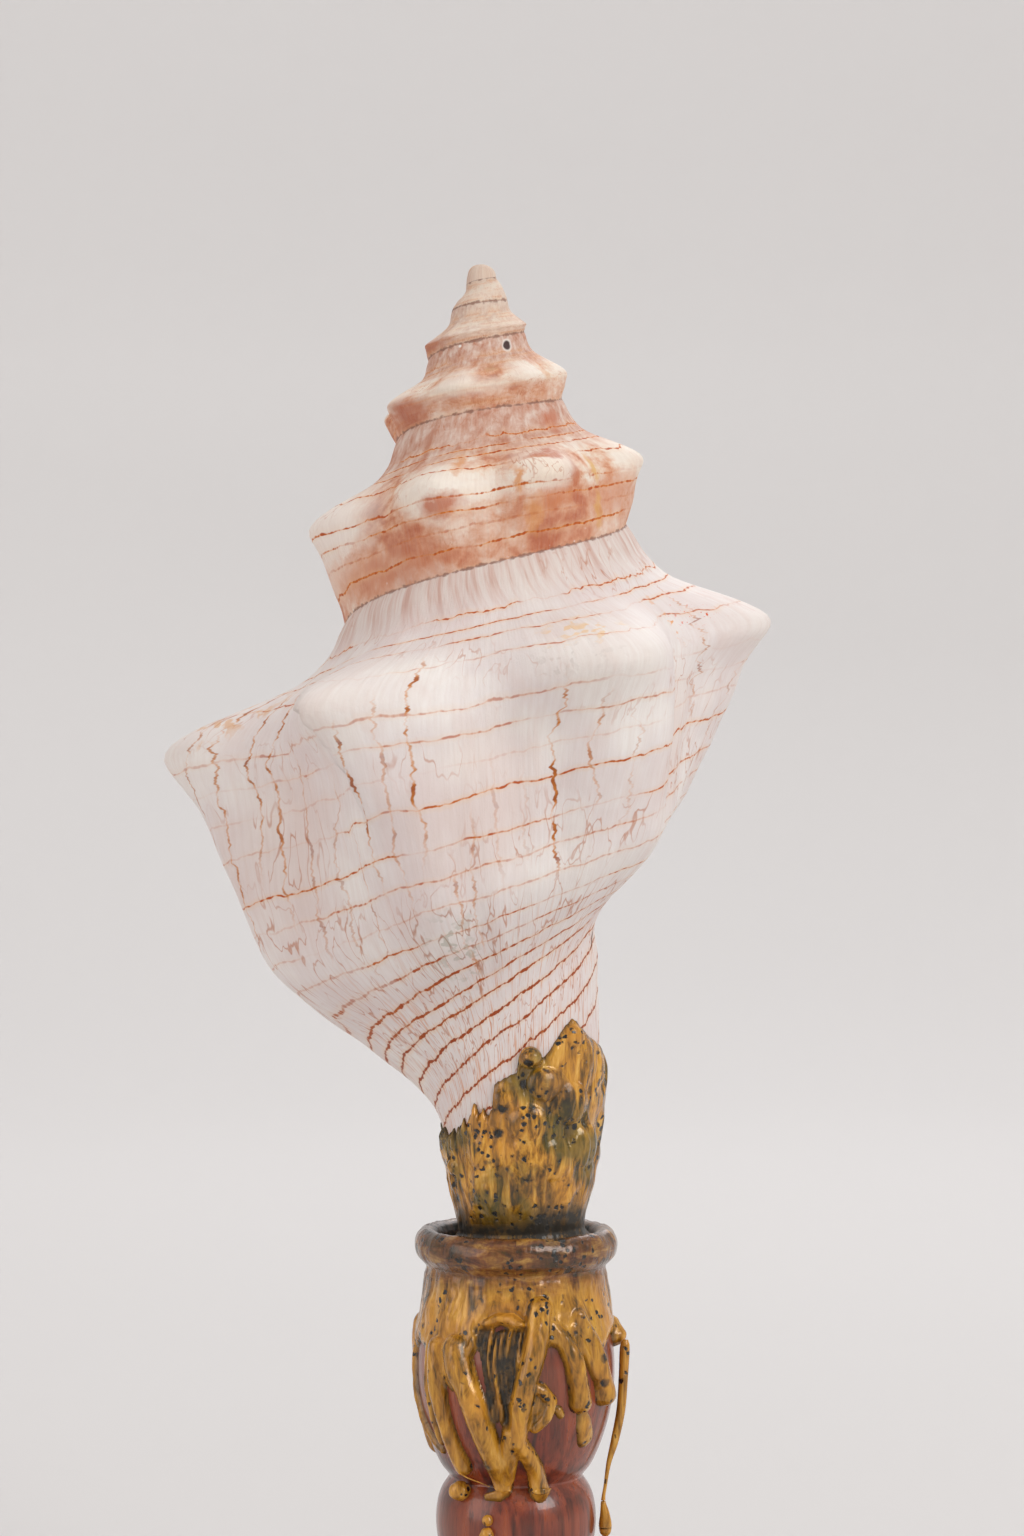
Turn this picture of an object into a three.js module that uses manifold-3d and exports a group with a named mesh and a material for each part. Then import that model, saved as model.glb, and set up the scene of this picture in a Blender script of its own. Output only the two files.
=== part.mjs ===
// A trapezium horse conch, a right-handed sea shell with knobbed shoulders, standing on its canal end in the
// cup of a turned candlestick, where gilded resin holds it. Millimetres, +Z up, origin at the centre of the
// foot's underside. The front is -Y.
import * as THREE from 'three';
import Module from 'manifold-3d';
import { mergeVertices } from 'three/addons/utils/BufferGeometryUtils.js';

const wasm = await Module();
wasm.setup();

const DEGREE = Math.PI / 180;
const TURN = 360;
const GAP = 0.3;
// Points closer than this are one point.
const JOIN_DISTANCE = 1e-4;

// Driving dimensions of the shell. Growth is an angle in degrees: 0 faces the front and +90 the left, so the
// shell grows from right to left across the front. A profile point is [distance from the shell's axis, depth
// below apex].
const APEX = [-6.8, 0, 296.4];
const LEAN = 2.2;
const FIRST_GROWTH = -1710;
const LIP_GROWTH = 138;
const HALF_TURN = 180;
const GROWTH_STEP = 12;
const BASE_DEPTH = 200;
const LINING_END_DEPTH = 199;
const WALL = 2.6;
const HOLLOW_SWEEP = 204;
const APEX_CAP_DEPTH = 0.1;
// The last whorl's own shape grows in over this much of its first part, in degrees.
const LAST_WHORL_START = 60;

// The suture and the shoulder, once every half turn of growth.
const SUTURE = [
  [1.6, 0.5], [2.7, 2.6], [3.3, 4.2], [4.7, 7.3], [6.4, 9.4], [7.8, 13.7], [11.4, 18.9],
  [14.8, 27.4], [18.4, 35], [26.6, 52.7], [30, 71.1], [43, 97], [53.5, 127], [60, 150],
];
const SHOULDER = [
  [2.5, 1.2], [3.2, 3.6], [4.6, 7], [7.9, 11.8], [11.3, 15.8], [14.8, 21.2], [20.4, 28.2],
  [29.5, 39], [35.9, 51.3], [53.6, 71.9], [66, 93.7], [79, 113], [92, 135],
];
// Radius in the valley between two knobs, as a part of the shoulder's radius, at the same half turns.
const VALLEY = [0.97, 0.96, 0.95, 0.94, 0.93, 0.92, 0.9, 0.84, 0.82, 0.78, 0.76, 0.76, 0.76];
// Below the last suture the profile runs to the canal end. These rows start at FIRST_BASE_GROWTH.
const FIRST_BASE_GROWTH = -450;
const WAIST_TOP = [[10.5, 84], [13, 108], [18.7, 126.6], [28, 155.6], [30, 172]];
const WAIST = [[6, 105], [7.5, 128], [17.5, 141], [17, 166.5], [19, 179]];
const NECK = [[5, 150], [6.5, 152], [16.9, 164], [13.2, 178], [14, 184]];
const CANAL = [[5, 186], [6, 186], [13.6, 188], [12.2, 190], [12, 191]];
const CANAL_END_RADIUS = [[5], [6], [11.5], [11], [10.5]];
// Where the knobs stand, in degrees of growth.
const KNOBS = [
  -1040, -1000, -960, -920, -880, -840, -800, -747, -700, -650, -612, -568, -525, -485, -445, -379,
  -340, -277, -232, -185, -135, -85, -25, 33, 93, 165,
];
// Below the shoulder the knobs lean back by this many degrees for each row.
const KNOB_SHEAR = 6;
const SHOULDER_ROW = 2;
// How much of a knob's swelling each row keeps, on the whorls that a later whorl covers and on the last one.
const SWELL_COVERED = [0, 0.15, 1, 0.6, 0, 0, 0, 0, 0, 0, 0];
const SWELL_LAST = [0, 0.15, 1, 0.8, 0.5, 0.3, 0, 0, 0, 0, 0];
// Steps between the profile's rows: suture, ramp, shoulder, flank, next suture, then the base and canal.
const ROW_STEPS = [2, 2, 2, 2, 2, 2, 2, 1, 1, 1];
const UPPER_ROWS = 4;
// The rows half way to the shoulder and half way on to the next suture, as [part out, part down].
const RAMP_PLACE = [0.26, 0.52];
const FLANK_PLACE = [0.42, 0.4];
// The row below the next suture, as [part of the suture's radius, part of the flank's drop].
const BASE_PLACE = [0.85, 0.5];
// How far past the canal end the profile aims, so that it arrives upright.
const CANAL_AIM = 8;
// Part of a knob's swelling left before the first knob and after the last.
const EVEN_SWELL = 0.5;

// Driving dimensions of the stand.
const FOOT_RADIUS = 52;
const FOOT_HEIGHT = 14;
const FOOT_ROUNDING = 1.4;
const TENON_RADIUS = 6;
const TENON_DEPTH = 9;
const RIM_TOP = 103.2;
const SOCKET_RADIUS = 15.8;
const SOCKET_FLOOR = 90;
const TURNED_SIDES = 36;

// One value or point of a row of stations at a growth angle, on a Catmull-Rom curve.
function station(rows, growth, first = FIRST_GROWTH) {
  const place = Math.min(Math.max((growth - first) / HALF_TURN, 0), rows.length - 1);
  const i = Math.min(Math.floor(place), rows.length - 2);
  const f = place - i;
  const near = (k) => [rows[Math.min(Math.max(k, 0), rows.length - 1)]].flat();
  const [a, b, c, d] = [near(i - 1), near(i), near(i + 1), near(i + 2)];
  return b.map((_, k) => curve(a[k], b[k], c[k], d[k], f));
}

function curve(a, b, c, d, f) {
  const square = 2 * a - 5 * b + 4 * c - d;
  const cube = 3 * b - a - 3 * c + d;
  return 0.5 * (2 * b + (c - a) * f + square * f * f + cube * f * f * f);
}

function smooth(low, high, x) {
  const t = Math.min(Math.max((x - low) / (high - low), 0), 1);
  return t * t * (3 - 2 * t);
}

// 1 on a knob's crest, 0 half way between two knobs.
function knobbiness(growth) {
  const next = KNOBS.findIndex((knob) => knob > growth);
  if (next < 1) return EVEN_SWELL;
  const between = (growth - KNOBS[next - 1]) / (KNOBS[next] - KNOBS[next - 1]);
  return Math.cos(Math.PI * between) ** 2;
}

// The eleven rows of the profile at a growth angle, with the knobs' swelling.
function profileRows(growth) {
  const suture = station(SUTURE, growth);
  const shoulder = station(SHOULDER, growth);
  const next = station(SUTURE, growth + TURN);
  const mix = (a, b, [out, down]) => [a[0] + (b[0] - a[0]) * out, a[1] + (b[1] - a[1]) * down];
  const base = (rows) => station(rows, growth, FIRST_BASE_GROWTH);
  const rows = [
    suture,
    mix(suture, shoulder, RAMP_PLACE),
    shoulder,
    mix(shoulder, next, FLANK_PLACE),
    next,
    [next[0] * BASE_PLACE[0], next[1] + (next[1] - shoulder[1]) * BASE_PLACE[1]],
    base(WAIST_TOP),
    base(WAIST),
    base(NECK),
    base(CANAL),
    [base(CANAL_END_RADIUS)[0], BASE_DEPTH],
  ];
  const valley = shoulder[0] * (1 - station(VALLEY, growth)[0]);
  const last = smooth(LIP_GROWTH - TURN, LIP_GROWTH - TURN + LAST_WHORL_START, growth);
  return rows.map(([r, s], i) => {
    const kept = SWELL_COVERED[i] + (SWELL_LAST[i] - SWELL_COVERED[i]) * last;
    const hollow = 1 - knobbiness(growth + KNOB_SHEAR * Math.max(i - SHOULDER_ROW, 0) * last);
    return [r - valley * kept * hollow, s];
  });
}

// The profile as a smooth line: every row, with extra points between rows.
function profile(growth) {
  const rows = profileRows(growth);
  const before = [2 * rows[0][0] - rows[1][0], 2 * rows[0][1] - rows[1][1]];
  const end = rows[rows.length - 1];
  const all = [before, ...rows, [end[0], end[1] + CANAL_AIM]];
  const line = [];
  for (let i = 1; i < all.length - 2; i++) {
    const steps = ROW_STEPS[i - 1];
    for (let k = 0; k < steps; k++) {
      const f = k / steps;
      const [a, b, c, d] = all.slice(i - 1, i + 3);
      line.push([0, 1].map((axis) => curve(a[axis], b[axis], c[axis], d[axis], f)));
    }
  }
  line.push(end);
  return line;
}

// A profile point moved into the shell, square to the profile, by the wall's thickness.
function inset(line, i) {
  const a = line[Math.max(i - 1, 0)];
  const b = line[Math.min(i + 1, line.length - 1)];
  const length = Math.hypot(b[0] - a[0], b[1] - a[1]);
  const [r, s] = line[i];
  if (i === line.length - 1) return [r - WALL, s];
  const deep = s + (WALL * (b[0] - a[0])) / length;
  return [r - (WALL * (b[1] - a[1])) / length, Math.min(deep, LINING_END_DEPTH)];
}

// A point at a growth angle, in the shell's own frame: apex at the origin, axis down -Z.
function around([r, s], growth) {
  return [-r * Math.sin(growth * DEGREE), -r * Math.cos(growth * DEGREE), -s];
}

// A closed skin of triangles, gathered piece by piece.
class Skin {
  constructor() {
    this.corners = [];
  }

  triangle(a, b, c) {
    const apart = (p, q) => Math.hypot(p[0] - q[0], p[1] - q[1], p[2] - q[2]) > JOIN_DISTANCE;
    if (apart(a, b) && apart(b, c) && apart(c, a)) this.corners.push(...a, ...b, ...c);
  }

  // A grid of points, columns of equal length; flip turns its faces over.
  grid(columns, flip = false) {
    for (let i = 0; i + 1 < columns.length; i++) {
      for (let k = 0; k + 1 < columns[i].length; k++) {
        const [a, b, c, d] = [columns[i][k], columns[i + 1][k], columns[i + 1][k + 1], columns[i][k + 1]];
        this.triangle(a, flip ? c : b, flip ? b : c);
        this.triangle(a, flip ? d : c, flip ? c : d);
      }
    }
  }

  // A flat polygon: the flat outline is triangulated, and the triangles are laid on the same points in
  // space. They turn anticlockwise in the flat outline, or clockwise where flip is set.
  polygon(points, flat, flip = false) {
    const outline = flat.map(([x, y]) => new THREE.Vector2(x, y));
    for (const [a, b, c] of THREE.ShapeUtils.triangulateShape(outline, [])) {
      this.triangle(points[a], points[flip ? c : b], points[flip ? b : c]);
    }
  }

  geometry() {
    const loose = new THREE.BufferGeometry();
    loose.setAttribute('position', new THREE.Float32BufferAttribute(this.corners, 3));
    return mergeVertices(loose, JOIN_DISTANCE);
  }
}

function range(from, to, step) {
  const list = [];
  for (let x = from; step > 0 ? x <= to : x >= to; x += step) list.push(x);
  return list;
}

// The shell is one skin: the coiled outside, the base of the last whorl, the hollow behind the lip and its
// ends.
function shellGeometry() {
  const skin = new Skin();
  const upper = ROW_STEPS.slice(0, UPPER_ROWS).reduce((sum, n) => sum + n, 0);
  const column = (growth, from, to) => profile(growth).slice(from, to).map((p) => around(p, growth));

  const coil = range(FIRST_GROWTH, LIP_GROWTH, GROWTH_STEP);
  skin.grid(coil.map((growth) => column(growth, 0, upper + 1)));

  const baseStart = LIP_GROWTH - TURN;
  const lastTurn = range(baseStart, LIP_GROWTH, GROWTH_STEP);
  skin.grid(lastTurn.map((growth) => column(growth, upper)));

  // The hollow: its inner wall is the whorl before, its outer wall is the last whorl inset by the wall's
  // thickness.
  const hollow = range(LIP_GROWTH, LIP_GROWTH - HOLLOW_SWEEP, -GROWTH_STEP).reverse();
  const innerLine = (growth) => profile(growth - TURN).slice(upper + 1);
  const outerLine = (growth) => {
    const line = profile(growth);
    return line.map((_, i) => (i === 0 ? innerLine(growth)[0] : inset(line, i)));
  };
  const place = (line, growth) => line.map((p) => around(p, growth));
  skin.grid(hollow.map((growth) => place(innerLine(growth), growth - TURN)));
  skin.grid(hollow.map((growth) => place(outerLine(growth), growth)), true);

  const lipOutside = column(LIP_GROWTH, 0);
  const lipInside = place(outerLine(LIP_GROWTH), LIP_GROWTH);
  skin.grid([lipOutside, lipInside]);

  // The hollow's inner end, and the flat canal end.
  const end = hollow[0];
  const endFlat = [...outerLine(end), ...innerLine(end).slice(1).reverse()];
  skin.polygon(endFlat.map((p) => around(p, end)), endFlat, true);
  const tip = (line, growth) => around(line[line.length - 1], growth);
  const canalEnd = [
    ...lastTurn.map((growth) => tip(profile(growth), growth)),
    ...hollow.slice().reverse().map((growth) => tip(outerLine(growth), growth)),
    ...hollow.slice(0, -1).map((growth) => tip(innerLine(growth), growth - TURN)),
  ];
  skin.polygon(canalEnd, canalEnd, true);

  // The rounded apex closes the first turn.
  const apex = [0, 0, -APEX_CAP_DEPTH];
  const firstColumn = column(FIRST_GROWTH, 0, upper + 1);
  const ring = range(FIRST_GROWTH, FIRST_GROWTH + TURN, GROWTH_STEP).map((growth) => column(growth, 0, 1)[0]);
  const rim = [...ring, ...firstColumn.slice(0, -1).reverse()];
  for (let i = 0; i + 1 < rim.length; i++) skin.triangle(apex, rim[i + 1], rim[i]);
  return skin.geometry();
}

// The neck's radius at a growth angle and a depth, bridging the open canal beside the lip.
const CANAL_BRIDGE = 100;

function neckRadius(growth, depth) {
  const at = (angle) => {
    const line = profile(angle);
    const i = line.findLastIndex(([, s]) => s <= depth);
    const [a, b] = [line[i], line[Math.min(i + 1, line.length - 1)]];
    const f = b[1] > a[1] ? (depth - a[1]) / (b[1] - a[1]) : 0;
    return a[0] + (b[0] - a[0]) * f;
  };
  const start = LIP_GROWTH - TURN;
  if (growth > start + CANAL_BRIDGE) return at(growth);
  const t = (growth - start) / CANAL_BRIDGE;
  return Math.max(at(growth), at(LIP_GROWTH) * (1 - t) + at(start + CANAL_BRIDGE) * t);
}

// Value at an angle on a smooth closed curve through [angle, value] pairs that go once round.
function roundTable(pairs, angle) {
  const [start, startValue] = pairs[0];
  const wrapped = ((((angle - start) % TURN) + TURN) % TURN) + start;
  const all = [...pairs, [start + TURN, startValue]];
  const i = all.findLastIndex(([a]) => a <= wrapped);
  const [[low, lowValue], [high, highValue]] = [all[i], all[i + 1]];
  return lowValue + (highValue - lowValue) * smooth(low, high, wrapped);
}

// The ragged upper edge of the resin round the neck, as a depth below the apex, by growth angle.
const COLLAR_TOP = [
  [-220, 172], [-180, 166], [-150, 169], [-120, 160], [-90, 158], [-60, 151], [-35, 154],
  [-15, 159], [15, 164], [45, 169], [75, 175], [100, 176], [125, 171],
];
const COLLAR_BOTTOM = 197;
// Full thickness, and the part of it that is left at the upper and lower edges.
const COLLAR_THICKNESS = 1.4;
const COLLAR_EDGE_PART = 0.45;
const COLLAR_ROWS = 6;

function collarGeometry() {
  const angles = range(LIP_GROWTH - TURN, LIP_GROWTH, GROWTH_STEP);
  const outside = [];
  const inside = [];
  for (const growth of angles) {
    const closed = growth === LIP_GROWTH ? growth - TURN : growth;
    const top = roundTable(COLLAR_TOP, closed);
    const wall = [];
    const lining = [];
    for (let k = 0; k <= COLLAR_ROWS; k++) {
      const depth = top + ((COLLAR_BOTTOM - top) * k) / COLLAR_ROWS;
      const radius = neckRadius(closed, depth) + GAP;
      const swell = Math.sin((Math.PI * (k + 0.5)) / (COLLAR_ROWS + 1));
      const bulge = COLLAR_EDGE_PART + (1 - COLLAR_EDGE_PART) * swell;
      wall.push(around([radius + COLLAR_THICKNESS * bulge, depth], closed));
      lining.push(around([radius, depth], closed));
    }
    outside.push(wall);
    inside.push(lining);
  }
  return tubeOfTwoSheets(outside, inside);
}

// A ring-shaped solid between an outer and an inner sheet of the same grid, each going once round.
function tubeOfTwoSheets(outside, inside) {
  const skin = new Skin();
  skin.grid(outside);
  skin.grid(inside, true);
  const last = outside[0].length - 1;
  skin.grid(outside.map((column, i) => [inside[i][0], column[0]]));
  skin.grid(outside.map((column, i) => [column[last], inside[i][last]]));
  return skin.geometry();
}

// The turned wood: cup with a moulded rim, bulb, bead, cove and tenon, as [radius, height] from the socket
// down.
const BULB_RADIUS = 19.7;
const SOCKET_ROUNDING = 1.5;
const SOCKET_LIP_DROP = 1;
const CUP_OUTSIDE = [
  [16.4, RIM_TOP - 0.3], [18, RIM_TOP], [19.3, 101.9], [19.4, 99.2], [17.8, 97.4],
  [16.7, 95.4], [17.6, 89], [19.3, 81.5], [BULB_RADIUS, 76.5], [18.9, 67.5], [16.6, 59.6], [13.3, 54.6],
];
const BEAD_AND_STEM = [
  [15.3, 51], [16, 45.8], [15.3, 40.6], [12.8, 37],
  [11.2, 31.5], [12, 25], [15.4, 20], [20.5, 16.5], [21, FOOT_HEIGHT + GAP],
];

function spindleGeometry() {
  return turned([
    [0, SOCKET_FLOOR],
    [SOCKET_RADIUS - SOCKET_ROUNDING, SOCKET_FLOOR],
    [SOCKET_RADIUS, SOCKET_FLOOR + SOCKET_ROUNDING],
    [SOCKET_RADIUS, RIM_TOP - SOCKET_LIP_DROP],
    ...CUP_OUTSIDE,
    ...BEAD_AND_STEM,
    [TENON_RADIUS, FOOT_HEIGHT + GAP],
    [TENON_RADIUS, FOOT_HEIGHT - TENON_DEPTH + GAP],
    [0, FOOT_HEIGHT - TENON_DEPTH + GAP],
  ]);
}

function footGeometry() {
  const hole = TENON_RADIUS + GAP;
  return turned([
    [0, FOOT_HEIGHT - TENON_DEPTH],
    [hole, FOOT_HEIGHT - TENON_DEPTH],
    [hole, FOOT_HEIGHT],
    [24, FOOT_HEIGHT],
    [27, 12.2],
    [36, 10.4],
    [45, 9.2],
    [46.5, 7.2],
    [50.6, 6.2],
    [FOOT_RADIUS, 3.4],
    [FOOT_RADIUS - FOOT_ROUNDING, 0],
    [0, 0],
  ]);
}

// A lathe turns about +Y, so the outline is turned there and stood up on +Z. Outlines run from top to
// bottom, and are reversed here so that the faces point out.
function turned(outline) {
  const points = outline.map(([r, z]) => new THREE.Vector2(r, z)).reverse();
  return joined(new THREE.LatheGeometry(points, TURNED_SIDES).rotateX(Math.PI / 2));
}

// A geometry's points alone, joined where they meet.
function joined(geometry) {
  geometry.deleteAttribute('normal');
  geometry.deleteAttribute('uv');
  return mergeVertices(geometry, JOIN_DISTANCE);
}

// The resin on the cup: a coat turned over the rim and bulb, then cut into fingers. Each gap between fingers
// is an arch of bare wood: its middle angle (0 front, +90 left), its width in degrees and the height that it
// reaches.
const APRON_THICKNESS = 1.1;
const APRON_GAPS = [
  [-168, 24, 74], [-142, 26, 62], [-114, 22, 80], [-88, 24, 85], [-66, 20, 67], [-52, 14, 80],
  [-38, 16, 67], [-29, 12, 81], [-3, 20, 59], [29, 24, 79], [70, 22, 85], [90, 16, 60], [111, 24, 77],
  [136, 22, 63], [158, 20, 82],
];
const ARCH_SEGMENTS = 3;
// Each arch is cut by a block that starts below the resin, inside the cup's wall, and comes out past it.
const ARCH_FOOT = 50;
const ARCH_BLOCK_START = 9;
const ARCH_BLOCK_DEPTH = 16;

// The cup's outline moved outwards by a distance, from the top of the rim down.
function coat(distance) {
  const line = CUP_OUTSIDE;
  return line.map(([r, z], i) => {
    const a = line[Math.max(i - 1, 0)];
    const b = line[Math.min(i + 1, line.length - 1)];
    const length = Math.hypot(b[0] - a[0], b[1] - a[1]);
    return [r + (distance * (a[1] - b[1])) / length, z + (distance * (b[0] - a[0])) / length];
  }).slice(1, -1);
}

function archCutter([angle, width, top]) {
  const half = Math.sin((width / 2) * DEGREE) * BULB_RADIUS;
  const arch = new THREE.Shape();
  arch.moveTo(-half, ARCH_FOOT);
  arch.lineTo(half, ARCH_FOOT);
  arch.lineTo(half, top - half);
  arch.absarc(0, top - half, half, 0, Math.PI, false);
  const settings = { depth: ARCH_BLOCK_DEPTH, bevelEnabled: false, curveSegments: ARCH_SEGMENTS };
  const block = new THREE.ExtrudeGeometry(arch, settings);
  const outwards = new THREE.Vector3(-Math.sin(angle * DEGREE), -Math.cos(angle * DEGREE), 0);
  const sideways = new THREE.Vector3(Math.cos(angle * DEGREE), -Math.sin(angle * DEGREE), 0);
  const frame = new THREE.Matrix4().makeBasis(sideways, new THREE.Vector3(0, 0, 1), outwards);
  frame.setPosition(outwards.clone().multiplyScalar(ARCH_BLOCK_START));
  return solid(block.applyMatrix4(frame));
}

function apronGeometry() {
  const outline = [...coat(GAP + APRON_THICKNESS), ...coat(GAP).reverse()];
  const ring = solid(turned([...outline, outline[0]]));
  const cut = APRON_GAPS.reduce((left, gap) => left.subtract(archCutter(gap)), ring).getMesh();
  const geometry = new THREE.BufferGeometry();
  geometry.setAttribute('position', new THREE.BufferAttribute(cut.vertProperties, 3));
  geometry.setIndex(new THREE.BufferAttribute(cut.triVerts, 1));
  return geometry;
}

// A closed three.js geometry as a solid that can be cut.
function solid(geometry) {
  const merged = joined(geometry);
  return new wasm.Manifold(new wasm.Mesh({
    numProp: 3,
    vertProperties: merged.attributes.position.array,
    triVerts: new Uint32Array(merged.index.array),
  }));
}

// A string of resin: a round section swept down a path, with its own thickness at each point, closed at both
// ends.
const DRIP_PATH = [
  [21.9, -2, 81.6, 0.5], [21.7, -2, 80, 1], [21.4, -2, 74, 0.95], [20.9, -2, 67.5, 0.9],
  [19.7, -2, 61.5, 0.8], [18.5, -2, 57, 0.5], [17.8, -2, 52.5, 0.35], [17.4, -2, 49.6, 0.45],
  [17.7, -2, 47, 0.95], [17.8, -2, 44.8, 1.3], [17.8, -2, 43.2, 1.1], [17.8, -2, 42.5, 0.6],
];
const DRIP_SIDES = 8;

function dripGeometry() {
  const skin = new Skin();
  const section = ([x, y, z, radius], angle) => [
    x + radius * Math.cos(angle * DEGREE), y - radius * Math.sin(angle * DEGREE), z,
  ];
  const angles = range(0, TURN, TURN / DRIP_SIDES).map((angle) => angle % TURN);
  skin.grid(angles.map((angle) => DRIP_PATH.map((place) => section(place, angle))));
  const ends = [[DRIP_PATH[0], false], [DRIP_PATH[DRIP_PATH.length - 1], true]];
  for (const [place, down] of ends) {
    const ring = angles.slice(0, -1).map((angle) => section(place, angle));
    skin.polygon(ring, ring, down);
  }
  return skin.geometry();
}

const DROP_SIDES = 10;
const DROP_RINGS = 6;

function dropGeometry(radius) {
  return joined(new THREE.SphereGeometry(radius, DROP_SIDES, DROP_RINGS));
}

const shellFinish = new THREE.MeshStandardMaterial({ color: 0xe9dcd6, roughness: 0.45, metalness: 0 });
const resinFinish = new THREE.MeshStandardMaterial({ color: 0xb5873c, roughness: 0.25, metalness: 0.2 });
const woodFinish = new THREE.MeshStandardMaterial({ color: 0x6e2f22, roughness: 0.22, metalness: 0 });

const piece = (name, geometry, material) => {
  const mesh = new THREE.Mesh(geometry, material.clone());
  mesh.name = name;
  return mesh;
};

const conch = new THREE.Group();
conch.position.set(...APEX);
conch.rotation.y = -LEAN * DEGREE;
conch.add(
  piece('shell', shellGeometry(), shellFinish),
  piece('gilded_collar', collarGeometry(), resinFinish),
);

const stand = new THREE.Group();
stand.add(
  piece('foot', footGeometry(), woodFinish),
  piece('spindle', spindleGeometry(), woodFinish),
  piece('gilded_apron', apronGeometry(), resinFinish),
  piece('long_drip', dripGeometry(), resinFinish),
);

// Small drops that stand on the wood: distance from the stand's axis, angle, height and radius.
const DROPS = [
  ['upper_bead_drop', 17, 20, 48.2, 1],
  ['lower_bead_drop', 17.7, 20, 45.4, 1.4],
  ['waist_lump', 17, 45, 52.6, 1.6],
];
for (const [name, distance, angle, height, radius] of DROPS) {
  const drop = piece(name, dropGeometry(radius), resinFinish);
  drop.position.set(-distance * Math.sin(angle * DEGREE), -distance * Math.cos(angle * DEGREE), height);
  stand.add(drop);
}

const conchOnStand = new THREE.Group();
conchOnStand.add(stand, conch);

export default conchOnStand;
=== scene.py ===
import math

import bmesh
import bpy
import numpy as np
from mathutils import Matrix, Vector, noise


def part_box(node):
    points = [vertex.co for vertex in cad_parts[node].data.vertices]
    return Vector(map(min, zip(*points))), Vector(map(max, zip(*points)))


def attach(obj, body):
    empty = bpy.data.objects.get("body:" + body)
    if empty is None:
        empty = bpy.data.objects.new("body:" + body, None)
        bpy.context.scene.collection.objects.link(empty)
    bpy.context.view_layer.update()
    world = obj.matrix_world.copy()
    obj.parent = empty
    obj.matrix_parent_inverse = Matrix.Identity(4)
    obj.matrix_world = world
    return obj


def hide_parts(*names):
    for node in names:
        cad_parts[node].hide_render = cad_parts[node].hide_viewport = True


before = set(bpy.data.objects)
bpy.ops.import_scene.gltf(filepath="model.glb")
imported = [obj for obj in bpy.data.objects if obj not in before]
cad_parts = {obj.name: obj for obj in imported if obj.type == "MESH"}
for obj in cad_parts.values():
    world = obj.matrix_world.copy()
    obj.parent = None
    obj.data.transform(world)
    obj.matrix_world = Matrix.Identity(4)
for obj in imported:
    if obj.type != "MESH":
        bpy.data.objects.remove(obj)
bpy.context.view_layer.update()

# --------------------------------------------------------------------------------------------------
# Foot: a round foot of red-brown mahogany, turned on a lathe with a stepped edge, stained and varnished. It sits
# flat on the table and takes the tenon of the spindle.
# --------------------------------------------------------------------------------------------------

MM = 0.001
TURNED_SIDES = 144


def linear(colour):
    """A colour written as sRGB hex, turned to the linear RGBA that the shaders take."""
    parts = [int(colour[i:i + 2], 16) / 255 for i in (1, 3, 5)]
    return [p / 12.92 if p <= 0.04045 else ((p + 0.055) / 1.055) ** 2.4 for p in parts] + [1.0]


def fill(node, inputs):
    """Fills a node's inputs, each with a number, a colour or a link. A link can come with a span of its values and
    what to make of that span's two ends, as (link, low, high, at low, at high)."""
    tree = node.id_data
    for name, value in inputs.items():
        if isinstance(value, tuple) and isinstance(value[0], bpy.types.NodeSocket):
            value = add(tree, "MapRange", dict(enumerate(value)))
        if isinstance(value, bpy.types.NodeSocket):
            tree.links.new(value, node.inputs[name])
        else:
            node.inputs[name].default_value = linear(value) if isinstance(value, str) else value


def add(tree, kind, inputs=None, stops=(), **settings):
    """Adds a node with its settings, fills its inputs and returns its first output in use."""
    node = tree.nodes.new("ShaderNode" + kind)
    for name, value in settings.items():
        setattr(node, name, value)
    fill(node, inputs or {})
    for i, (place, colour) in enumerate(stops):
        ramp = node.color_ramp.elements
        stop = ramp[i] if i < 2 else ramp.new(place)
        stop.position = place
        stop.color = linear(colour)
    return next((o for o in node.outputs if o.enabled), None)


def lay(tree, under, colour, part):
    """Lays a colour over another as far as part says."""
    return add(tree, "Mix", {0: part, 6: under, 7: colour}, data_type="RGBA")


def times(tree, first, *others):
    """The product of several parts."""
    for other in others:
        first = add(tree, "Math", {0: first, 1: other}, operation="MULTIPLY")
    return first


def stretched(tree, place, stretch, **settings):
    """Noise on a place that is stretched first. The three numbers of stretch are waves for each unit of place."""
    moved = add(tree, "VectorMath", {0: place, 1: stretch}, operation="MULTIPLY")
    return add(tree, "TexNoise", {"Vector": moved, "Scale": 1.0, **settings})


def new_material(name):
    """An empty node material, with its tree and its Principled shader."""
    material = bpy.data.materials.new(name)
    material.use_nodes = True
    tree = material.node_tree
    tree.nodes.clear()
    shader = tree.nodes.new("ShaderNodeBsdfPrincipled")
    output = tree.nodes.new("ShaderNodeOutputMaterial")
    tree.links.new(shader.outputs["BSDF"], output.inputs["Surface"])
    return material, tree, shader


def spline(points, steps):
    """A smooth line through a list of points, as an array, with a number of steps between each two."""
    p = np.array(points, float)
    p = np.vstack([2 * p[0] - p[1], p, 2 * p[-1] - p[-2]])
    line = [catmull(*p[i - 1:i + 3], k / steps) for i in range(1, len(p) - 2) for k in range(steps)]
    return np.array(line + [p[-2]])


def catmull(a, b, c, d, f):
    """Catmull-Rom curve between b and c."""
    square = 2 * a - 5 * b + 4 * c - d
    cube = 3 * b - a - 3 * c + d
    return 0.5 * (2 * b + (c - a) * f + square * f * f + cube * f ** 3)


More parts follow.
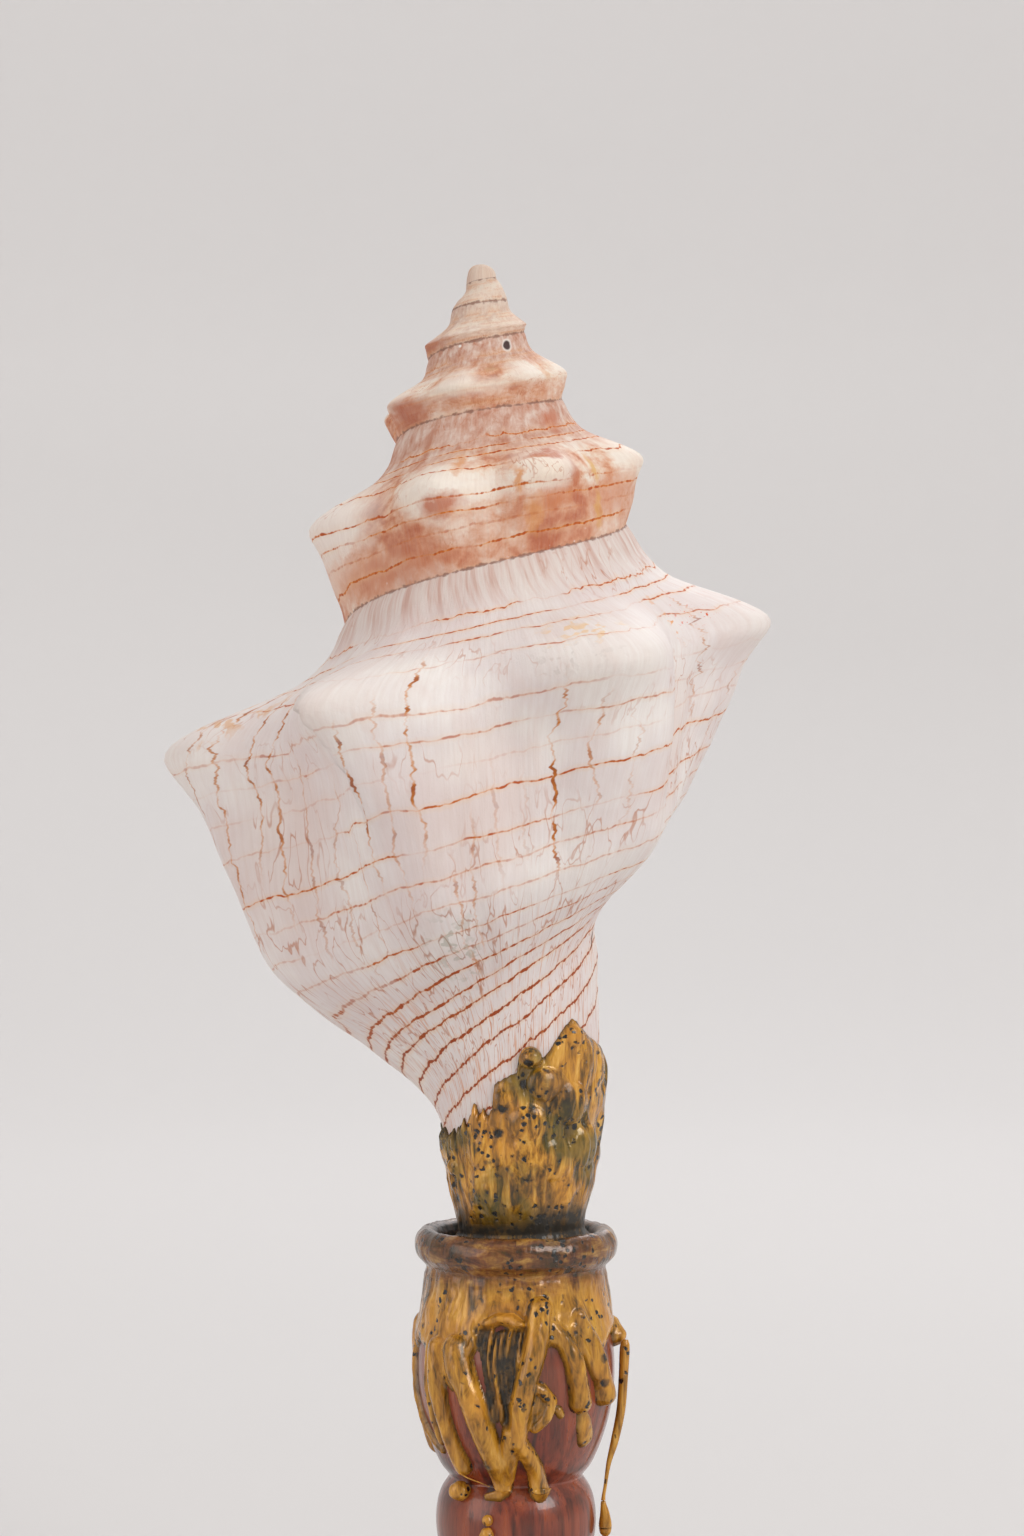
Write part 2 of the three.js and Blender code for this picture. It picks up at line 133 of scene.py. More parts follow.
def put(name, points, faces, material, slot, *nodes):
    """A mesh piece from millimetres that rides on the part's one body and stands for CAD nodes."""
    mesh = bpy.data.meshes.new(name)
    mesh.from_pydata(np.asarray(points) * MM, [], faces)
    mesh.materials.append(material)
    mesh.shade_smooth()
    piece = bpy.data.objects.new(name, mesh)
    bpy.context.scene.collection.objects.link(piece)
    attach(piece, "root")
    if nodes:
        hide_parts(*nodes)
    return piece


def bands(rings, sides, flip=False):
    """Faces between closed rings of points that are numbered ring by ring."""
    faces = []
    for k in range(rings - 1):
        for i in range(sides):
            a, b = k * sides + i, k * sides + (i + 1) % sides
            faces.append((a, a + sides, b + sides, b) if flip else (a, b, b + sides, a + sides))
    return faces


def turned(outline, sides=TURNED_SIDES):
    """Points and faces of an outline [radius, height] turned about Z. It starts and ends on the axis."""
    line = np.array(outline)[1:-1]
    angles = np.arange(sides) * 2 * math.pi / sides
    points = [(r * math.sin(a), -r * math.cos(a), z) for r, z in line for a in angles]
    points += [(0, 0, outline[0][1]), (0, 0, outline[-1][1])]
    faces = bands(len(line), sides, flip=True)
    top, last = len(points) - 2, (len(line) - 1) * sides
    for i in range(sides):
        j = (i + 1) % sides
        faces += [(top, i, j), (top + 1, last + j, last + i)]
    return points, faces


# Varnished mahogany, turned and polished: red-brown with darker upright streaks about 4 mm apart, and pores that
# run along the stem under a clear glossy varnish. It looks deep and wet, with sharp small highlights.
mahogany, tree, shader = new_material("mahogany_turned_and_varnished")
place = add(tree, "TexCoord").node.outputs["Object"]
streaks = stretched(tree, place, (260, 260, 16), Detail=5.0, Roughness=0.62, Distortion=0.6)
pores = stretched(tree, place, (1400, 1400, 90), Detail=3.0, Roughness=0.6)
broad = add(tree, "TexNoise", {"Vector": place, "Scale": 45.0, "Detail": 2.0})
wood = add(tree, "ValToRGB", {0: streaks}, stops=[
    (0.34, "#240a05"), (0.7, "#ab5630"), (0.43, "#4e180d"), (0.5, "#742a17"), (0.58, "#8f3f22")])
wood = lay(tree, wood, "#a35530", (broad, 0.35, 0.7, 0.0, 0.5))
wood = lay(tree, wood, "#2b100c", (pores, 0.56, 0.68, 0.0, 0.55))
wood_bump = add(tree, "Bump", {"Strength": 0.35, "Distance": 0.0002, "Height": pores})
fill(shader, {"Base Color": wood, "Roughness": (streaks, 0.3, 0.7, 0.36, 0.24), "Normal": wood_bump,
              "Coat Weight": 0.55, "Coat Roughness": 0.06, "Coat IOR": 1.5})

foot_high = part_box("foot")[1]
FOOT_RADIUS = foot_high.x / MM
FOOT_TOP = foot_high.z / MM
foot_edge = [(24, FOOT_TOP), (26.5, FOOT_TOP - 0.9), (27.5, FOOT_TOP - 1.9), (31, FOOT_TOP - 2.8), (38, 10.3),
             (44.4, 9.4), (45.6, 8.6), (46.2, 7.4), (48.5, 7), (50.8, 6.2), (FOOT_RADIUS, 3.6),
             (FOOT_RADIUS - 0.5, 1.2), (FOOT_RADIUS - 1.6, 0)]
foot_outline = [(0, FOOT_TOP), (21.6, FOOT_TOP), *spline(foot_edge, 5), (30, 0), (0, 0)]
put("turned_foot", *turned(foot_outline), mahogany, "varnished_wood", "foot")

# --------------------------------------------------------------------------------------------------
# Spindle: cup, bulb, bead and stem in one piece of the same mahogany, turned between centres. The cup is a candle
# socket with a moulded rim; its inside is out of sight under the resin.
# --------------------------------------------------------------------------------------------------

RIM_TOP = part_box("spindle")[1].z / MM
SOCKET_RADIUS = 15.8
SOCKET_FLOOR = RIM_TOP - 13.2
cup = [(16.3, RIM_TOP - 0.5), (17, RIM_TOP - 0.1), (18, RIM_TOP), (19.1, RIM_TOP - 0.9), (19.6, RIM_TOP - 2.5),
       (19.3, RIM_TOP - 4.4), (18.2, RIM_TOP - 5.6), (17.1, RIM_TOP - 6.6), (16.9, RIM_TOP - 8.6),
       (17.5, 90), (18.5, 85.4), (19.4, 80.8), (19.7, 76.5), (19.5, 71.6), (18.6, 66.4), (17, 61.2),
       (15.2, 57.2), (13.7, 55.2), (13.3, 54.4), (13.8, 53.6), (14.9, 51.8), (15.7, 49.2), (16, 45.8),
       (15.7, 42.4), (14.9, 39.8), (13.5, 37.7), (12.4, 36.4), (11.4, 33.6), (11.2, 30), (12.2, 25.2),
       (14.6, 21), (17.8, 18.2), (20.2, FOOT_TOP + 2.6), (21, FOOT_TOP + 0.9), (21, FOOT_TOP + 0.1)]
cup_line = spline(cup, 6)
spindle_outline = [(0, SOCKET_FLOOR), (SOCKET_RADIUS - 1, SOCKET_FLOOR), (SOCKET_RADIUS, SOCKET_FLOOR + 1),
                   (SOCKET_RADIUS, RIM_TOP - 1.4), *cup_line, (6, FOOT_TOP + 0.1), (0, FOOT_TOP + 0.1)]
put("turned_spindle", *turned(spindle_outline), mahogany, "varnished_wood", "spindle")

# --------------------------------------------------------------------------------------------------
# Shell: a trapezium horse conch, one coiled tube of aragonite laid down by the animal as it grew. Each whorl wraps
# the one before along the suture, and its shoulder swells to a blunt knob every 40 to 60 degrees. The last whorl
# tapers to the canal end, and its lip opens to the back.
# --------------------------------------------------------------------------------------------------

# Growth is an angle in degrees: 0 faces the front, +90 the left. A profile point is [distance from the shell's
# axis, depth below the apex] in millimetres. These repeat the CAD part's driving dimensions.
APEX = np.array([-6.8, 0, 296.4])
LEAN = math.radians(2.2)
FIRST_GROWTH = -1710.0
LIP_GROWTH = 138.0
TURN = 360.0
HALF_TURN = 180.0
BASE_DEPTH = 200.0
WALL = 2.6
LIP_WALL = 1.5
HOLLOW_SWEEP = 204.0
GROWTH_STEP = 1.5
SUTURE = [(1.6, 0.5), (2.7, 2.6), (3.3, 4.2), (4.7, 7.3), (6.4, 9.4), (7.8, 13.7), (11.4, 18.9),
          (14.8, 27.4), (18.4, 35), (26.6, 52.7), (30, 71.1), (43, 97), (53.5, 127), (60, 150)]
SHOULDER = [(2.5, 1.2), (3.2, 3.6), (4.6, 7), (7.9, 11.8), (11.3, 15.8), (14.8, 21.2), (20.4, 28.2),
            (29.5, 39), (35.9, 51.3), (53.6, 71.9), (66, 93.7), (79, 113), (92, 135)]
VALLEY = [0.97, 0.96, 0.95, 0.94, 0.93, 0.92, 0.9, 0.84, 0.82, 0.78, 0.76, 0.76, 0.76]
FIRST_BASE_GROWTH = -450.0
BASE_ROWS = [
    [(10.5, 84), (13, 108), (18.7, 126.6), (28, 155.6), (30, 172)],
    [(6, 105), (7.5, 128), (17.5, 141), (17, 166.5), (19, 179)],
    [(5, 150), (6.5, 152), (16.9, 164), (13.2, 178), (14, 184)],
    [(5, 186), (6, 186), (13.6, 188), (12.2, 190), (12, 191)],
    [(5, BASE_DEPTH), (6, BASE_DEPTH), (11.5, BASE_DEPTH), (11, BASE_DEPTH), (10.5, BASE_DEPTH)],
]
KNOBS = np.array([-1040, -1000, -960, -920, -880, -840, -800, -747, -700, -650, -612, -568, -525, -485, -445,
                  -379, -340, -277, -232, -185, -135, -85, -25, 33, 93, 165], float)
KNOB_SHEAR = 6.0
SHOULDER_ROW = 2
SWELL_COVERED = [0, 0.15, 1, 0.6, 0, 0, 0, 0, 0, 0, 0]
SWELL_LAST = [0, 0.15, 1, 0.8, 0.5, 0.3, 0, 0, 0, 0, 0]


def between(low, high, x):
    """A smooth step from 0 at low to 1 at high."""
    t = np.clip((x - low) / (high - low), 0, 1)
    return t * t * (3 - 2 * t)


def station(rows, growth, first=FIRST_GROWTH):
    """Values of a list of half-turn stations at growth angles, on a smooth curve."""
    rows = np.array(rows, float)
    rows = rows[:, None] if rows.ndim == 1 else rows
    place = np.clip((growth - first) / HALF_TURN, 0, len(rows) - 1.000001)
    i = np.floor(place).astype(int)
    near = [rows[np.clip(i + k, 0, len(rows) - 1)] for k in (-1, 0, 1, 2)]
    return catmull(*near, (place - i)[:, None])


def knobbiness(growth):
    """1 on a knob's crest, 0 half way between two knobs."""
    i = np.clip(np.searchsorted(KNOBS, growth, side="right"), 1, len(KNOBS) - 1)
    part = (growth - KNOBS[i - 1]) / (KNOBS[i] - KNOBS[i - 1])
    return np.where(growth < KNOBS[0], 0.5, np.cos(math.pi * part) ** 2)


def profile(growth, across):
    """Profile points at growth angles. across counts the rows: 0 suture, 2 shoulder, 4 next suture, 10 canal."""
    suture, shoulder = station(SUTURE, growth), station(SHOULDER, growth)
    following = station(SUTURE, growth + TURN)
    below = following[:, 1] + (following[:, 1] - shoulder[:, 1]) * 0.5
    rows = [
        suture,
        suture + (shoulder - suture) * [0.26, 0.52],
        shoulder,
        shoulder + (following - shoulder) * [0.42, 0.4],
        following,
        np.stack([following[:, 0] * 0.85, below], 1),
        *[station(row, growth, FIRST_BASE_GROWTH) for row in BASE_ROWS],
    ]
    valley = shoulder[:, 0] * (1 - station(VALLEY, growth)[:, 0])
    last = between(LIP_GROWTH - TURN, LIP_GROWTH - TURN + 60, growth)
    for i, row in enumerate(rows):
        kept = SWELL_COVERED[i] + (SWELL_LAST[i] - SWELL_COVERED[i]) * last
        hollow = 1 - knobbiness(growth + KNOB_SHEAR * max(i - SHOULDER_ROW, 0) * last)
        row[:, 0] -= valley * kept * hollow
    ahead, after = 2 * rows[0] - rows[1], rows[-1] + [0, 8]
    stack = np.stack([ahead, *rows, after], 1)
    i = np.clip(np.floor(across).astype(int), 0, len(rows) - 2)
    return catmull(*[stack[:, i + k] for k in range(4)], (across - i)[None, :, None])


def in_space(points, growth):
    """Profile points at their growth angles, in the object's frame, with the shell's small lean."""
    a = np.radians(growth)[:, None]
    x, y, z = -points[..., 0] * np.sin(a), -points[..., 0] * np.cos(a), -points[..., 1]
    sine, cosine = math.sin(LEAN), math.cos(LEAN)
    return np.stack([x * cosine - z * sine, y, x * sine + z * cosine], -1) + APEX


def inset(points, wall):
    """Profile lines moved into the shell, square to themselves, by a wall's thickness."""
    along = np.gradient(points, axis=1)
    along /= np.linalg.norm(along, axis=2, keepdims=True)
    moved = points + np.stack([-along[..., 1], along[..., 0]], -1) * wall
    moved[:, :-1, 1] = np.minimum(moved[:, :-1, 1], BASE_DEPTH - 1)
    moved[:, -1, 0] = points[:, -1, 0] - wall[:, 0, 0]
    moved[:, -1, 1] = BASE_DEPTH
    return moved


# Where the fine spiral lines run, as [place across the whorl, how dark]. They are crowded towards the canal.
CORDS = [(-0.6, 0), (0.85, 0.75), (1.05, 0.8), (1.28, 0.7), (1.66, 0.45), (2.5, 0.32), (2.9, 0.4), (3.25, 0.12),
         (3.58, 0.7), (4.05, 0.62), (4.4, 0.45), (4.8, 0.2), (5.15, 0.75), (5.36, 0.5), (5.58, 0.75), (5.82, 0.7),
         (6.05, 1), (6.42, 1), (6.82, 0.75), (7.2, 0.95), (7.58, 0.9), (8.0, 0.8), (8.4, 0.7), (9, 0.6), (11, 0)]
CORD_SLANT = 0.0045
# Where growth rested and left an upright crack, as [growth angle, how dark, from row, to row].
RESTS = [(-236, 0.5, 1.5, 5), (-212, 0.4, 2, 4.6), (-196, 0.6, 1, 4), (-170, 0.5, 2.4, 5),
         (-152, 0.4, 2, 5), (-128, 0.6, 2.5, 5), (-109, 0.5, 1.5, 4), (-84, 0.4, 2.4, 3.9),
         (-66, 0.55, 1.2, 3.4), (-47, 0.3, 2.8, 4.4), (-31, 0.35, 3.1, 4.3), (-22, 0.75, 2.9, 3.9),
         (-14, 1, 2.5, 4.7), (-6, 0.25, 3.6, 4.4), (1, 0.3, 3.4, 4.5), (7, 0.55, 3.9, 5.4),
         (12, 0.6, 4.4, 6), (18, 0.9, 1.6, 3.9), (23, 0.55, 2.2, 4.6), (29, 0.85, 2.6, 4.2),
         (37, 0.5, 3.8, 5), (46, 0.4, 3.2, 5.2), (56, 0.5, 2.4, 4.8), (64, 0.85, 1.6, 4.2),
         (70, 0.8, 1.2, 3.6), (77, 0.8, 1.3, 4.4), (84, 0.6, 1.6, 5.4), (92, 0.6, 1.2, 5),
         (104, 0.5, 2, 5), (118, 0.6, 2, 5.6)]


def marks(growth, across, points):
    """What the shell's colour needs at each grid point: coordinates that follow its growth."""
    flat_growth = np.repeat(growth[:, None], len(across), 1)
    flat_across = np.repeat(across[None, :], len(growth), 0)
    step = np.linalg.norm(np.diff(points, axis=1), axis=2)
    run = np.concatenate([np.zeros((len(growth), 1)), np.cumsum(step, 1)], 1)
    mm_per_row = np.gradient(run, axis=1) / np.gradient(across)[None, :]
    places, darkness = np.array(CORDS).T
    shifted = flat_across - CORD_SLANT * np.clip(flat_growth, -110, LIP_GROWTH) * between(5, 6, flat_across)
    cord = np.interp(shifted, places, np.arange(len(places)))
    gap = np.interp(shifted, places, np.gradient(places)) * mm_per_row
    dark = np.interp(shifted, places, darkness)
    angles, rest_dark, start, stop = np.array(RESTS).T
    rest = np.interp(flat_growth, angles, np.arange(len(angles)))
    nearest = np.clip(np.rint(rest).astype(int), 0, len(angles) - 1)
    rest_gap = np.interp(flat_growth, angles, np.gradient(angles)) * np.radians(1) * points[..., 0]
    window = between(start[nearest] - 0.4, start[nearest] + 0.3, flat_across)
    window *= 1 - between(stop[nearest] - 0.3, stop[nearest] + 0.4, flat_across)
    window *= between(LIP_GROWTH - TURN - 30, LIP_GROWTH - TURN + 10, flat_growth)
    knob = knobbiness(flat_growth)
    crest = knob * np.exp(-((flat_across - 2.1) / 0.75) ** 2)
    # Below zero in the hollows between knobs under the shoulder, where the shader lays a pinker, slightly darker
    # colour that is partly the shell's tint and partly painted shade.
    crest -= (1 - knob) * np.exp(-((flat_across - 3.7) / 1.2) ** 2)
    return {"growth": (flat_growth / TURN, flat_across, crest), "cords": (cord, gap, dark),
            "rests": (rest, rest_gap, rest_dark[nearest] * window), "run": run}


# Upright folds of the last whorl as [growth angle, depth in mm, half-width in degrees, from row, to row].
FOLDS = [(44, 2.2, 7, 2.2, 5.2), (58, 0.7, 4, 2, 4.6), (72, 0.6, 4, 1.6, 4.4), (14, 0.7, 4, 3.4, 6),
         (-12, 0.9, 4, 2.4, 4.8), (-30, 0.6, 4, 3, 5.5), (-52, 1.5, 7, 2.2, 5), (-68, 0.6, 4, 1.6, 4),
         (-108, 1.4, 7, 2.2, 5), (-128, 0.7, 4, 2, 5), (-160, 1.2, 7, 2.2, 5), (-206, 1.0, 7, 2, 4.6),
         (112, 1.2, 7, 2.2, 5)]
# Two knobs of the whorl before stand out at the front as round studs, as [growth angle, height].
STUDS = [(-379, 1.3), (-340, 1.1)]
STUD_ROW = 1.95
# The crease at the left of the front knob: a step, and a valley after it. It slants by degrees of growth a row.
CREASE_ANGLE, CREASE_SLANT, CREASE_STEP, CREASE_VALLEY = 35, 5, 2, 2.2
# Ripples along the growth and down the row, and slow lumps.
GROWTH_RIPPLE, ROW_RIPPLE, LUMP = 0.18, 0.12, 0.8
# A snail's bore hole as [growth angle, row, radius, depth].
BORE_HOLE = (-747, 0.5, 1.0, 0.35)
MM_PER_ROW_AT_HOLE = 6.5


def relief(growth, across, points):
    """Growth folds, studs and small unevenness, as millimetres out from the axis, gone at the sutures."""
    size = between(2, 40, points[..., 0])
    g = np.repeat(growth[:, None], len(across), 1)
    v = np.repeat(across[None, :], len(growth), 0)
    a = np.radians(g)
    out = np.sin(a * 23 + 1.4 * np.sin(a * 5)) * GROWTH_RIPPLE * between(0, 1.4, v)
    out += np.sin(v * 9.5 + 0.3 * np.sin(a * 7)) * ROW_RIPPLE
    lumps = np.array([[noise.noise(Vector((gi / 16, vi * 1.3, 3.7))) for vi in across] for gi in growth])
    out += lumps * LUMP
    last = between(LIP_GROWTH - TURN, LIP_GROWTH - TURN + 20, g)
    out -= (0.8 + 1.1 * last) * (1 - knobbiness(g)) * np.exp(-((v - 2) / 0.42) ** 2)
    out += (1 - last) * (1.3 * np.exp(-((v - 3) / 0.5) ** 2) + 0.5 * np.exp(-((v - 2.4) / 0.3) ** 2))
    for angle, depth, width, start, stop in FOLDS:
        along = np.exp(-((g + 3 * (v - 3) - angle) / width) ** 2)
        window = between(start - 0.7, start + 0.5, v) * (1 - between(stop - 0.8, stop + 0.8, v))
        out -= depth * along * window * last
    crease = CREASE_ANGLE + CREASE_SLANT * (2.3 - v)
    step = between(crease - 14, crease, g) * (1 - between(crease, crease + 1.5, g))
    step -= CREASE_VALLEY * between(crease, crease + 1.5, g) * (1 - between(crease + 3, crease + 24, g))
    out += CREASE_STEP * step * between(1.2, 1.9, v) * (1 - between(2.9, 4, v))
    for angle, height in STUDS:
        out += height * np.exp(-((g - angle) / 9) ** 2 - ((v - STUD_ROW) / 0.45) ** 2) / np.maximum(size, 0.3)
    at_suture = between(0, 0.5, v) * (1 - between(3.5, 4, v) * (g < LIP_GROWTH - TURN))
    out *= size * at_suture * (1 - between(8, 9.5, v))
    full = 0.06 * np.exp(-((v - 2.75) / 0.75) ** 2) - 0.02 * np.exp(-((v - 0.8) / 0.5) ** 2)
    out += full * points[..., 0] * (1 - between(-720, -560, g)) * at_suture
    angle, row, radius, depth = BORE_HOLE
    hole = np.hypot(np.radians(g - angle) * points[..., 0], (v - row) * MM_PER_ROW_AT_HOLE)
    return out - depth * (1 - between(radius * 0.5, radius, hole))


class Sheets:
    """Grids of points with their colour coordinates, joined where they meet into one closed skin."""

    def __init__(self):
        self.points, self.faces, self.corner_marks, self.count = [], [], [], 0

    def grid(self, places, values, flip=False):
        """A grid of points [columns, rows, xyz] and values [columns, rows, 12]."""
        columns, rows = places.shape[:2]
        ids = self.count + np.arange(columns * rows).reshape(columns, rows)
        quads = np.stack([ids[:-1, :-1], ids[1:, :-1], ids[1:, 1:], ids[:-1, 1:]], -1).reshape(-1, 4)
        self.add(places.reshape(-1, 3), values.reshape(-1, values.shape[-1]), quads[:, ::-1] if flip else quads)

    def add(self, places, values, faces):
        """Points, their values, and faces that name them by number."""
        for face in faces:
            self.faces.append(tuple(int(i) for i in face))
            self.corner_marks.extend(values[i - self.count] for i in face)
        self.points.append(places)
        self.count += len(places)

    def piece(self, name, names, material, slot, *nodes):
        """One mesh piece, with a corner attribute of three numbers for each name."""
        piece = put(name, np.concatenate(self.points), self.faces, material, slot, *nodes)
        values = np.array(self.corner_marks, np.float32)
        for k, attribute in enumerate(names):
            made = piece.data.attributes.new(attribute, "FLOAT_VECTOR", "CORNER")
            made.data.foreach_set("vector", values[:, 3 * k:3 * k + 3].ravel())
        weld(piece.data, 2e-6)


def weld(mesh, distance):
    """Joins the points of a mesh that lie on each other."""
    welded = bmesh.new()
    welded.from_mesh(mesh)
    bmesh.ops.remove_doubles(welded, verts=welded.verts, dist=distance)
    welded.to_mesh(mesh)
    welded.free()


def sheet_of(growth, across, inside=0.0):
    """Points and values of one sheet of the shell."""
    points = profile(growth, across)
    found = marks(growth, across, points)
    points[..., 0] += relief(growth, across, points) * (1 - inside)
    return points, values_of(found, inside)


def values_of(found, inside):
    """The twelve numbers at each point: growth, cords, rests, and [inside, distance from the suture, unused]."""
    upper = found["run"] + np.where(found["growth"][1][:, :1] > 0.5, 50, 0)
    covered = found["growth"][0] * TURN < LIP_GROWTH - TURN
    lower = np.where(covered & (found["growth"][1][:, -1:] < 4.1), found["run"][:, -1:] - found["run"], 50)
    suture = np.minimum(upper, lower)
    hidden, spare = np.full(suture.shape, inside), np.zeros(suture.shape)
    return np.stack([*found["growth"], *found["cords"], *found["rests"], hidden, suture, spare], -1)


upper_rows = np.unique(np.concatenate([np.linspace(0, 4, 33), [0.04, 0.08, 3.92, 3.96]]))
lower_rows = np.unique(np.concatenate([[4, 4.35], np.linspace(4.35, 10, 46)]))
conch = Sheets()

coil = np.arange(FIRST_GROWTH, LIP_GROWTH + 0.1, GROWTH_STEP)
coil_points, coil_values = sheet_of(coil, upper_rows)
conch.grid(in_space(coil_points, coil), coil_values)

last_turn = np.arange(LIP_GROWTH - TURN, LIP_GROWTH + 0.1, GROWTH_STEP)
base_points, base_values = sheet_of(last_turn, lower_rows)
conch.grid(in_space(base_points, last_turn), base_values)

# The hollow behind the lip: its inner wall is the whorl before and the columella, its outer wall is the last whorl
# seen from inside, thin at the lip and thicker further in.
hollow = np.arange(LIP_GROWTH - HOLLOW_SWEEP, LIP_GROWTH + 0.1, GROWTH_STEP)
inner_rows = lower_rows[1:]
inner_points, inner_values = sheet_of(hollow - TURN, inner_rows, inside=1.0)
last_column, _ = sheet_of(hollow[-1:] - TURN, inner_rows)
blend = between(LIP_GROWTH - 30, LIP_GROWTH, hollow)[:, None, None]
inner_points += (last_column - inner_points[-1:]) * blend
inner_values[..., 9] = 1 - 0.6 * blend[..., 0]
conch.grid(in_space(inner_points, hollow - TURN), inner_values)

outer_rows = np.concatenate([upper_rows, lower_rows[1:]])
outer_points, outer_values = sheet_of(hollow, outer_rows)
wall = LIP_WALL + (WALL - LIP_WALL) * (1 - between(LIP_GROWTH - 50, LIP_GROWTH, hollow))[:, None, None]
outer_points = inset(outer_points, wall)
corner = inner_points[:, :1]
ramp = between(0, 0.9, outer_rows)[None, :, None]
outer_points = corner * (1 - ramp) + outer_points * ramp
outer_values[..., 9] = 1.0
conch.grid(in_space(outer_points, hollow), outer_values, flip=True)

# The lip's edge, rounded over between the outside and the inside.
lip_out, lip_values = sheet_of(np.array([LIP_GROWTH]), outer_rows)
LIP_STEPS = 6
lip_lines, lip_marks = [], []
for k in range(LIP_STEPS + 1):
    t = k / LIP_STEPS
    swell = math.sin(math.pi * t) * 0.9 * between(0.1, 0.8, outer_rows) * (1 - between(9, 9.9, outer_rows))
    line = lip_out[0] * (1 - t) + outer_points[-1] * t
    angle = LIP_GROWTH + np.degrees(swell / np.maximum(line[:, 0], 5))
    lip_lines.append(np.concatenate([in_space(p[None, None], a[None])[0] for p, a in zip(line, angle)]))
    edge_marks = lip_values[0].copy()
    edge_marks[:, 9] = t
    lip_marks.append(edge_marks)
conch.grid(np.stack(lip_lines), np.stack(lip_marks))


# The hollow's inner end is closed with triangles to its middle. The canal end is flat, and the rounded apex closes
# the first turn.
outline = np.concatenate([in_space(outer_points[:1], hollow[:1])[0],
                          in_space(inner_points[:1, 1:], hollow[:1])[0][::-1]])
outline_values = np.concatenate([outer_values[0], inner_values[0, 1:][::-1]])
n, start = len(outline), conch.count
conch.add(np.concatenate([outline, outline.mean(0, keepdims=True)]),
          np.concatenate([outline_values, outline_values[:1]]),
          [(start + n, start + (i + 1) % n, start + i) for i in range(n)])
canal_outline = np.concatenate([in_space(base_points[:, -1:], last_turn)[:, 0],
                                np.stack(lip_lines)[1:-1, -1],
                                in_space(outer_points[:, -1:], hollow)[::-1, 0],
                                in_space(inner_points[:, -1:], hollow - TURN)[:-1, 0]])
canal_values = np.concatenate([base_values[:, -1], np.stack(lip_marks)[1:-1, -1],
                               outer_values[::-1, -1], inner_values[:-1, -1]])
canal = bmesh.new()
canal_corners = [canal.verts.new(p) for p in canal_outline]
filled = bmesh.ops.triangle_fill(canal, use_beauty=True, edges=[
    canal.edges.new((canal_corners[i], canal_corners[(i + 1) % len(canal_corners)]))
    for i in range(len(canal_corners))])
canal.verts.index_update()
canal_faces = []
for face in (g for g in filled["geom"] if isinstance(g, bmesh.types.BMFace)):
    order = [v.index for v in face.verts]
    canal_faces.append([conch.count + i for i in (order if face.normal.z < 0 else order[::-1])])
canal.free()
conch.add(canal_outline, canal_values, canal_faces)
first_turn = coil[coil <= FIRST_GROWTH + TURN]
ring = in_space(coil_points[:len(first_turn), :1], first_turn)[:, 0]
first_column = in_space(coil_points[:1], coil[:1])[0][::-1][1:]
apex_ring = np.concatenate([ring, first_column])
apex_values = np.concatenate([coil_values[:len(first_turn), 0], coil_values[0][::-1][1:]])
apex_values[:, 10] = 5
dome_middle = np.append(apex_ring[:, :2].mean(0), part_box("shell")[1].z / MM)
DOME_STEPS = 8
dome = []
for k in range(DOME_STEPS + 1):
    slope = math.pi / 2 * (1 - k / DOME_STEPS)
    ring_part = np.array([math.sin(slope)] * 2 + [1 - math.cos(slope)])
    dome.append(dome_middle + (apex_ring - dome_middle) * ring_part)
conch.grid(np.stack(dome), np.repeat(apex_values[None], DOME_STEPS + 1, 0))


def parts_of(tree, name):
    """A stored attribute and its three numbers."""
    vector = add(tree, "Attribute", attribute_name=name).node.outputs["Vector"]
    return vector, *add(tree, "SeparateXYZ", {0: vector}).node.outputs


def wavy_line(number, gap, along, stretch, swing, **settings):
    """Millimetres to the nearest of many numbered lines, each made wavy by noise that runs along it."""
    wave = stretched(tree, along, stretch, **settings)
    moved = add(tree, "Math", {0: number, 1: (wave, 0.3, 0.7, -swing, swing)}, operation="ADD")
    return times(tree, add(tree, "Math", {0: moved, 1: 0.5}, operation="PINGPONG"), gap)


def line_mask(distance, half_width, blur):
    """1 on a line of a half-width in millimetres, and 0 past its blurred edge."""
    edge = add(tree, "Math", {0: half_width, 1: blur}, operation="ADD")
    return add(tree, "MapRange", {0: distance, 1: half_width, 2: edge, 3: 1.0, 4: 0.0})


def patch_part(where, angle, row, wide, tall, level, crisp):
    """How much of an oval patch covers each point. Wide and tall are half-sizes in degrees of growth and rows."""
    off = add(tree, "VectorMath", {0: where, 1: (angle / TURN, row, 0)}, operation="SUBTRACT")
    scaled = add(tree, "VectorMath", {0: off, 1: (TURN / wide, 1 / tall, 0)}, operation="MULTIPLY")
    far = add(tree, "VectorMath", {0: scaled}, operation="LENGTH").node.outputs["Value"]
    return add(tree, "MapRange", {0: far, 1: crisp, 2: 1.0, 3: level, 4: 0.0})


# Aragonite grown in layers: chalky cream-white with a satin skin, thin rust-brown spiral lines that bead where
# they cross growth lines, stained growth cracks, and a peach and terracotta spire whose knobs are worn pale.
shell_material, tree, shader = new_material("aragonite_grown_shell")
place = add(tree, "TexCoord").node.outputs["Object"]
growth, turns, across, crest = parts_of(tree, "growth")
_, cord, cord_gap, cord_dark = parts_of(tree, "cords")
_, rest, rest_gap, rest_dark = parts_of(tree, "rests")
_, inside, from_suture, _ = parts_of(tree, "depths")

# Growth streaks run up and down the whorl: fine across the growth, long along the row.
fine_streaks = stretched(tree, growth, (420, 1.6, 0), Detail=3.0, Roughness=0.6)
broad_streaks = stretched(tree, growth, (70, 1.1, 0), Detail=3.0, Distortion=0.5)
clouds = add(tree, "TexNoise", {"Vector": place, "Scale": 55.0, "Detail": 3.0, "Roughness": 0.55})

